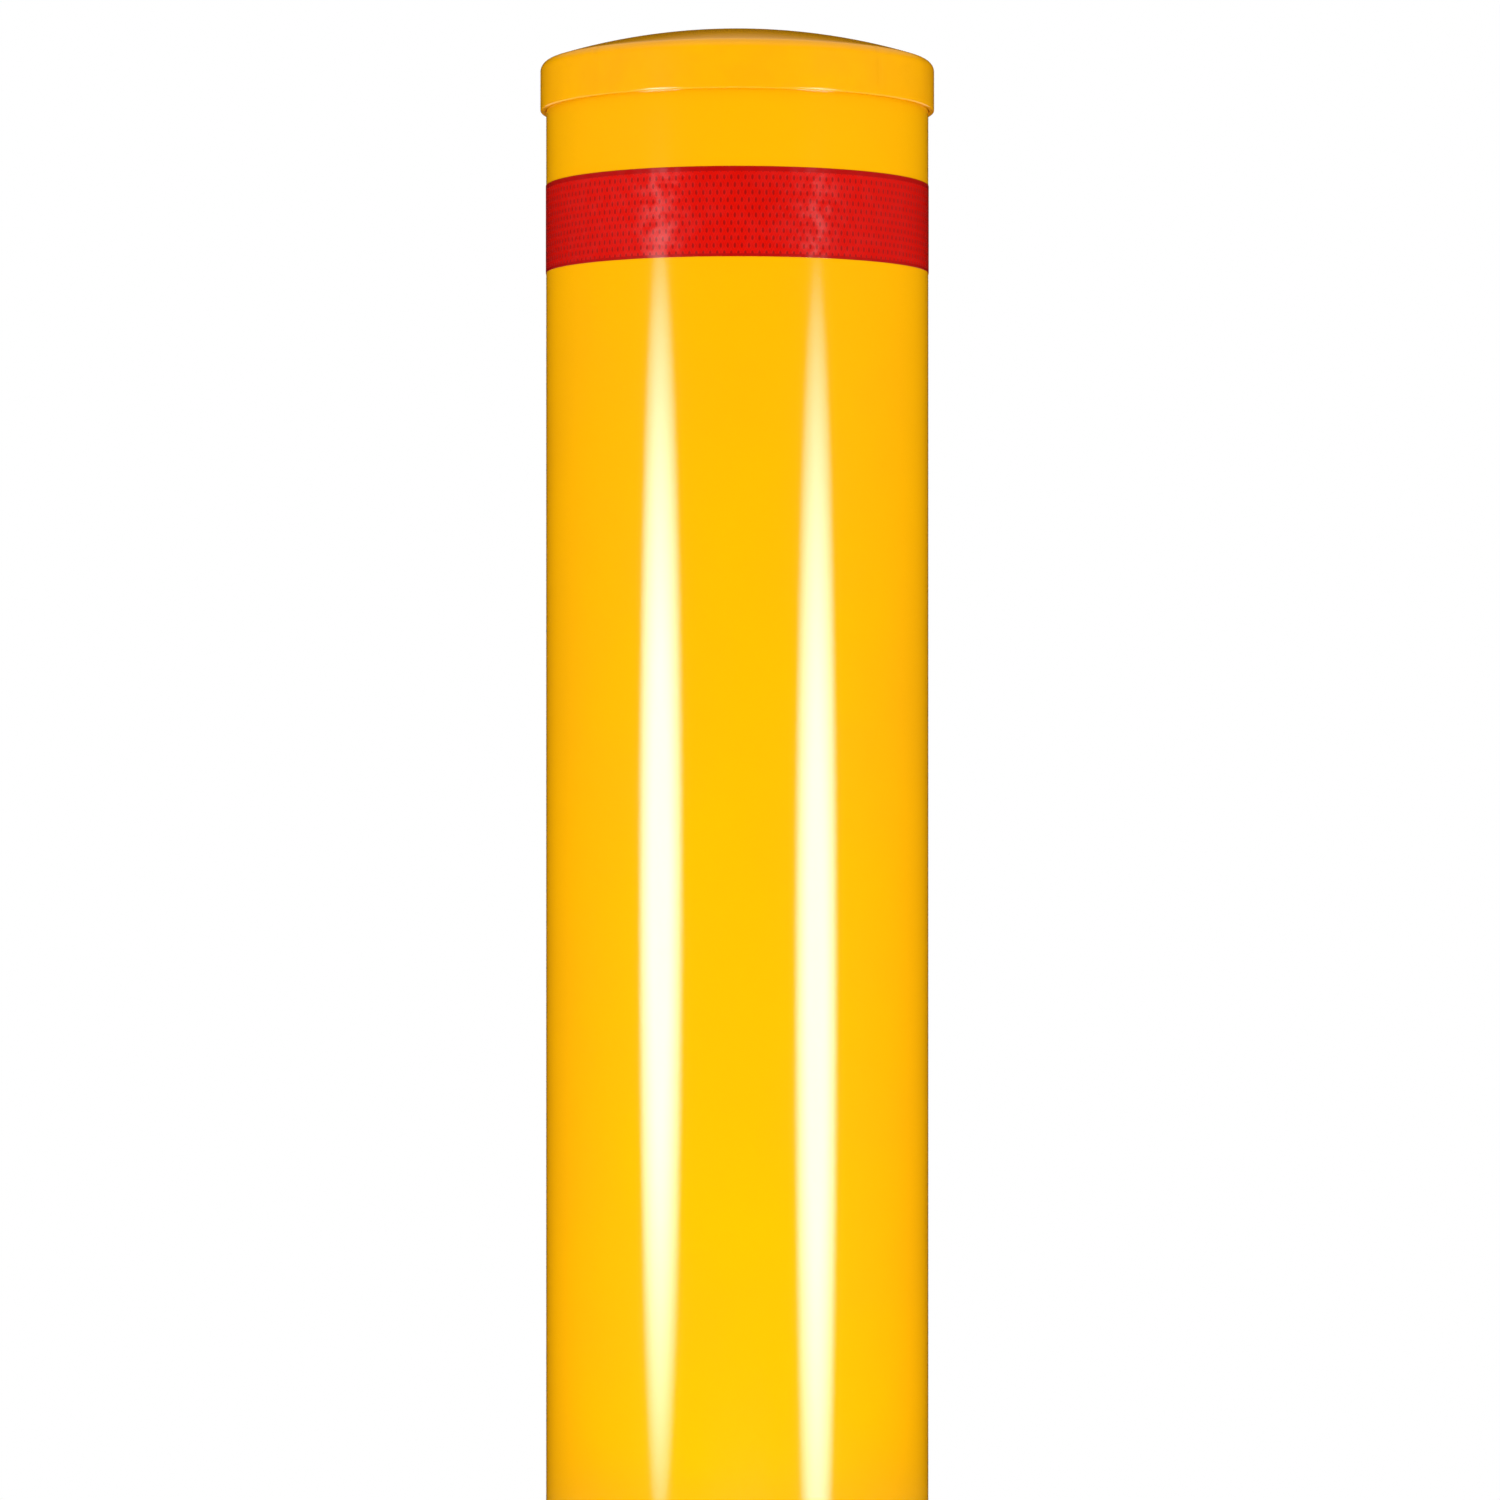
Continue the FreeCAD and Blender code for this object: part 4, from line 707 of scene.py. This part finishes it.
def makeCap():
    low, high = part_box("cap")
    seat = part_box("lock_bezel")[0].z
    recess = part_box("lock_bezel")[1].x + capShape["bezelGap"]
    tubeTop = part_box("bollard_tube")[1].z
    outside, wall, dome, corner = high.x, capShape["wall"], capShape["dome"], capShape["corner"]
    inside = outside - wall
    lip, rim = capShape["lip"], capShape["rim"]
    centre = high.z - math.sqrt(dome ** 2 - recess ** 2)
    cornerAt = outside - corner
    cornerLevel = centre + math.sqrt((dome - corner) ** 2 - cornerAt ** 2)
    slope = math.degrees(math.asin(cornerAt / (dome - corner)))
    underBoss = seat - capShape["floor"]
    boss = capShape["boss"]
    start = math.degrees(math.acos((recess + rim) / dome))
    bossTurn = math.degrees(math.acos(boss / (dome - wall)))
    profile = [(inside, low.z + lip / 2), (inside + lip / 2, low.z)]
    profile += arc(outside - lip, low.z + lip, lip, -90, 0, 4)
    profile += [(outside, low.z + lip * 2), (outside, cornerLevel - capShape["markDrop"])]
    profile += [(outside, cornerLevel - lip)]
    profile += arc(cornerAt, cornerLevel, corner, 0, 90 - slope, 9)
    profile += arc(0, centre, dome, 90 - slope, start, 14)[1:]
    profile += [(recess, high.z - rim), (recess, seat)]
    profile += [(capShape["neck"], seat), (capShape["neck"], underBoss), (boss, underBoss)]
    profile += arc(0, centre, dome - wall, bossTurn, 90 - slope, 8)
    profile += arc(cornerAt, cornerLevel, corner - wall, 90 - slope, 0, 5)[1:]
    cap = turnProfile(profile, capShape["sides"])
    # sink marks over the ribs, where the moulding drew in as it cooled
    top = cornerLevel + corner * math.sin(math.radians(capShape["markTurn"] - slope))
    bottom = cornerLevel - capShape["markReach"]
    step = capShape["ribStep"]

    def onMark(point):
        turn = (angleOf(point) - capShape["ribStart"]) % step
        onRib = min(turn, step - turn) < 180 / capShape["sides"]
        radius = math.hypot(point.x, point.y)
        outer = radius > cornerAt or point.z > cornerLevel + corner - wall / 2
        return onRib and outer and bottom < point.z < top and radius > capShape["markInner"]

    pickPoints(cap, onMark)
    bpy.ops.transform.shrink_fatten(value=-capShape["markDepth"])
    bpy.ops.object.mode_set(mode="OBJECT")
    ribTop = cornerLevel + (corner - wall) * capShape["ribTop"]
    reach = capShape["ribReach"]
    middle = Vector((inside - reach / 2, 0, (tubeTop + ribTop) / 2))
    clearSelection()
    bpy.ops.mesh.primitive_cube_add(size=1, location=middle)
    rib = bpy.context.object
    rib.scale = (reach + capShape["ribBite"], capShape["ribThick"], ribTop - tubeTop)
    bpy.ops.object.transform_apply(location=True, rotation=False, scale=True)
    pickPoints(rib, lambda point: point.x < middle.x and point.z < middle.z)
    bpy.ops.transform.translate(value=(0, 0, (ribTop - tubeTop) * capShape["ribSlope"]))
    bpy.ops.object.mode_set(mode="OBJECT")
    ribs = turnedCopies(rib, range(capShape["ribStart"], 360, step))
    choose(cap)
    ribs.select_set(True)
    bpy.ops.object.join()
    settle(cap, "capShell", "post", "yellow_cap", "cap")


bandShape = {"sides": 240, "edge": 0.00006, "lapWidth": 8.0, "lapRaise": 0.0002, "lapAt": 90.0}


def makeBand():
    low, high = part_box("reflective_band")
    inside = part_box("bollard_tube")[1].x
    outside = high.x
    edge = bandShape["edge"]
    profile = [(inside, low.z), (outside - edge, low.z), (outside, low.z + edge)]
    profile += [(outside, high.z - edge), (outside - edge, high.z), (inside, high.z)]
    band = turnProfile(profile, bandShape["sides"])
    # the free end of the tape lies over its start at the back
    halfLap = bandShape["lapWidth"] / 2

    def onLap(point):
        outer = math.hypot(point.x, point.y) > outside - 2 * edge
        return outer and abs(angleOf(point) - bandShape["lapAt"]) < halfLap

    pickPoints(band, onLap)
    bpy.ops.mesh.extrude_region_shrink_fatten(TRANSFORM_OT_shrink_fatten={"value": bandShape["lapRaise"]})
    bpy.ops.object.mode_set(mode="OBJECT")
    settle(band, "reflectiveTape", "post", "red_reflective", "reflective_band")


barShape = {
    "sides": 20,
    "outer": 0.008,
    "core": 0.0072,
    "endRound": 0.0008,
    "ribPitch": 0.0062,
    "ribWide": 0.0016,
    "ribStart": 0.0075,
    "seamHalf": 0.0012,
    "seamStart": 0.006,
    "seamEnd": 0.001,
    "weldBite": 0.0008,
    "weld": [(0.0125, 0.0), (0.0117, 0.0015), (0.0092, 0.0038), (0.0072, 0.0055)],
}


def makeAnchorBars():
    low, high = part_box("anchor_bars")
    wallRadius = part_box("casing_tube")[1].x
    core, outer, soft = barShape["core"], barShape["outer"], barShape["endRound"]
    wide = barShape["ribWide"]
    reach = math.hypot(high.x - outer * math.sqrt(0.5), high.y - outer * math.sqrt(0.5))
    root = wallRadius - barShape["weldBite"]
    profile = [(radius, root + rise) for radius, rise in barShape["weld"]]
    place = root + barShape["ribStart"]
    while place + barShape["ribPitch"] < reach:
        profile += [(core, place), (outer, place + wide / 3)]
        profile += [(outer, place + wide * 2 / 3), (core, place + wide)]
        place += barShape["ribPitch"]
    profile += [(core, reach - soft), (core - soft, reach)]
    bar = turnProfile(profile, barShape["sides"], closed=False)
    # two plain seams run the length of a rolled bar
    seamStart = root + barShape["seamStart"]
    seamEnd = reach - barShape["seamEnd"]
    half = barShape["seamHalf"]
    pickPoints(bar, lambda point: abs(point.x) < half and seamStart < point.z < seamEnd)
    bpy.ops.transform.resize(value=(1, outer / core, 1), center_override=(0, 0, 0))
    bpy.ops.object.mode_set(mode="OBJECT")
    bar.data.transform(Matrix.Rotation(math.radians(90), 4, "Y"))
    upper = bar.copy()
    upper.data = bar.data.copy()
    bpy.context.scene.collection.objects.link(upper)
    bar.data.transform(Matrix.Translation((0, 0, low.z + outer)))
    upper.data.transform(Matrix.Translation((0, 0, high.z - outer)))
    choose(bar)
    upper.select_set(True)
    bpy.ops.object.join()
    bars = turnedCopies(bpy.context.object, (45, 135, 225, 315))
    settle(bars, "anchorBars", "casing", "reinforcing_bar", "anchor_bars")


beadShape = {
    "leg": 0.006,
    "ripple": 0.0026,
    "rippleDepth": 0.0005,
    "rippleOut": 0.0008,
    "rippleUp": 0.0005,
    "bite": 0.0004,
    "face": [(0.78, 0.40), (0.53667, 0.53667), (0.30, 0.82)],
}


def makeBead(name, radius, level, direction):
    # a fillet weld round a pipe, with the ripples of each pass; direction is +1 above its plate, -1 below
    leg = beadShape["leg"]
    count = 2 * int(math.pi * radius / beadShape["ripple"])
    root = radius - beadShape["bite"]
    profile = [(root, level), (radius + leg, level)]
    profile += [(radius + leg * out, level + direction * leg * up) for out, up in beadShape["face"]]
    profile += [(root, level + direction * leg)]
    bead = turnProfile(profile, count)
    step = 360 / count

    def onRipple(point):
        outer = math.hypot(point.x, point.y) > radius + beadShape["rippleOut"]
        raised = abs(point.z - level) > beadShape["rippleUp"]
        return outer and raised and round(angleOf(point) / step) % 2 == 0

    pickPoints(bead, onRipple)
    bpy.ops.transform.shrink_fatten(value=-beadShape["rippleDepth"])
    bpy.ops.object.mode_set(mode="OBJECT")
    settle(bead, name, "casing", "galvanised_steel")


makePostTube()
makeCap()
makeBand()
makeAnchorBars()
makeBead("baseWeld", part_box("casing_tube")[1].x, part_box("casing_base_plate")[1].z, 1)
makeBead("spigotWeld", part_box("drain_spigot")[1].x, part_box("casing_base_plate")[0].z, -1)
makeBead("flangeWeld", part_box("casing_tube")[1].x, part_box("casing_flange")[0].z, -1)


floorLook = {
    "radius": 9,
    "colour": (0.80, 0.80, 0.79, 1),
    "second": (0.76, 0.76, 0.75, 1),
    "roughness": (0.8, 0.95),
    "grainSize": 0.02,
    "tone": 0.3,
}


def makeFloor():
    clearSelection()
    bpy.ops.mesh.primitive_circle_add(vertices=96, radius=floorLook["radius"], fill_type="NGON")
    floor = bpy.context.object
    floor.name = "studioFloor"
    floor.data.transform(Matrix.Translation((0, 0, cadBox[0].z)))
    material, tree, shader = startFinish("floorPaint", {"Specular IOR Level": 0.1})
    grain = placeGroup(tree, surfaceGrain, Size=floorLook["grainSize"])
    tone = sums(tree, "MULTIPLY", grain["Patches"], floorLook["tone"])
    feed(tree, shader["Base Color"], blendColours(tree, tone, floorLook["colour"], floorLook["second"]))
    feed(tree, shader["Roughness"], remap(tree, grain["Patches"], *floorLook["roughness"]))
    floor.data.materials.append(material)
    return floor


roomLight = {
    "ambient": 0.69,
    "sideLift": 0.98,
    "backdrop": 1.0,
    "horizonGloss": 0.004,
    "zenithGloss": 0.6,
    "glossRise": (0.36, 0.80),
}


def makeWorld():
    # even light from all round; what shines sees a dark room with a bright ceiling
    world = bpy.data.worlds.new("studioRoom")
    bpy.context.scene.world = world
    world.use_nodes = True
    world.cycles.sampling_method = "NONE"
    tree = world.node_tree
    sky = tree.nodes["Background"]
    ray = addNode(tree, "LightPath").outputs
    toward = axesOf(tree, addNode(tree, "TexCoord").outputs["Generated"])
    ends = (roomLight["horizonGloss"], roomLight["zenithGloss"])
    gloss = remap(tree, toward["Z"], *ends, *roomLight["glossRise"])
    sideways = sums(tree, "POWER", toward["X"], 2.0)
    light = addNode(tree, "Mix", data_type="FLOAT")
    feed(tree, light.inputs[0], ray["Is Glossy Ray"])
    even = sums(tree, "MULTIPLY_ADD", sideways, roomLight["sideLift"], roomLight["ambient"])
    feed(tree, light.inputs[2], even)
    feed(tree, light.inputs[3], gloss)
    shown = addNode(tree, "Mix", data_type="FLOAT")
    feed(tree, shown.inputs[0], ray["Is Camera Ray"])
    feed(tree, shown.inputs[2], light.outputs[0])
    feed(tree, shown.inputs[3], roomLight["backdrop"])
    feed(tree, sky.inputs["Color"], (1, 1, 1, 1))
    feed(tree, sky.inputs["Strength"], shown.outputs[0])


def hangLamp(lamp, place, aim):
    holder = bpy.data.objects.new(lamp.name, lamp)
    bpy.context.scene.collection.objects.link(holder)
    holder.location = place
    holder.rotation_euler = aim.to_track_quat("-Z", "Y").to_euler()
    holder.visible_camera = False
    return holder


softboxes = {
    "left": {"turn": -45.7, "distance": 2.5, "level": 0.35, "width": 1.30, "height": 1.34, "strength": 22.0},
    "right": {"turn": 47.4, "distance": 2.5, "level": 0.24, "width": 1.26, "height": 1.50, "strength": 21.0},
}
softboxFade = (0.03, 0.25)


def makeSoftbox(name, box):
    # seen only in what shines, bright in the middle and fading to its rim
    lamp = bpy.data.lights.new(name, "AREA")
    lamp.shape = "ELLIPSE"
    lamp.size = box["width"]
    lamp.size_y = box["height"]
    area = math.pi / 4 * box["width"] * box["height"]
    lamp.energy = box["strength"] * area * math.pi
    lamp.use_nodes = True
    tree = lamp.node_tree
    emission = tree.nodes["Emission"]
    spot = axesOf(tree, addNode(tree, "NewGeometry").outputs["Parametric"])
    across = sums(tree, "SUBTRACT", spot["X"], 0.5)
    upright = sums(tree, "SUBTRACT", spot["Y"], 0.5)
    reach = sums(tree, "ADD", sums(tree, "POWER", across, 2.0), sums(tree, "POWER", upright, 2.0))
    feed(tree, emission.inputs["Strength"], remap(tree, reach, 1.0, 0.0, *softboxFade))
    turn = math.radians(box["turn"])
    outward = Vector((math.sin(turn), -math.cos(turn), 0)) * box["distance"]
    holder = hangLamp(lamp, outward + Vector((0, 0, box["level"])), -outward)
    holder.visible_diffuse = False


lowFill = {"place": (0.0, -1.7, -0.75), "aim": (0.0, 0.0, 0.1), "size": 1.2, "strength": 6.7}


def makeLowFill(floor):
    # it lights the bollard alone, so that it leaves no pool of light on the floor
    lamp = bpy.data.lights.new("lowFill", "AREA")
    lamp.size = lowFill["size"]
    lamp.energy = lowFill["strength"] * lowFill["size"] ** 2 * math.pi
    place = Vector(lowFill["place"])
    holder = hangLamp(lamp, place, Vector(lowFill["aim"]) - place)
    holder.visible_glossy = False
    skipped = bpy.data.collections.new("fillSkips")
    skipped.objects.link(floor)
    for row in skipped.collection_objects:
        row.light_linking.link_state = "EXCLUDE"
    holder.light_linking.receiver_collection = skipped


cameraPlace = {"lens": 125.5, "distance": 3.0, "pitch": 0.0, "aim": (0.0073, 0.0, 0.4896)}


def makeCamera():
    view = bpy.data.cameras.new("studioCamera")
    view.lens = cameraPlace["lens"]
    view.sensor_width = 36
    view.clip_end = 200
    holder = bpy.data.objects.new("studioCamera", view)
    bpy.context.scene.collection.objects.link(holder)
    pitch = math.radians(cameraPlace["pitch"])
    back = Vector((0, -math.cos(pitch), -math.sin(pitch))) * cameraPlace["distance"]
    holder.location = Vector(cameraPlace["aim"]) + back
    holder.rotation_euler = (math.pi / 2 + pitch, 0, 0)
    bpy.context.scene.camera = holder


floor = makeFloor()
makeWorld()
for name, box in softboxes.items():
    makeSoftbox(name + "Softbox", box)
makeLowFill(floor)
makeCamera()
bpy.context.scene.view_settings.view_transform = "Standard"
print("studio made")
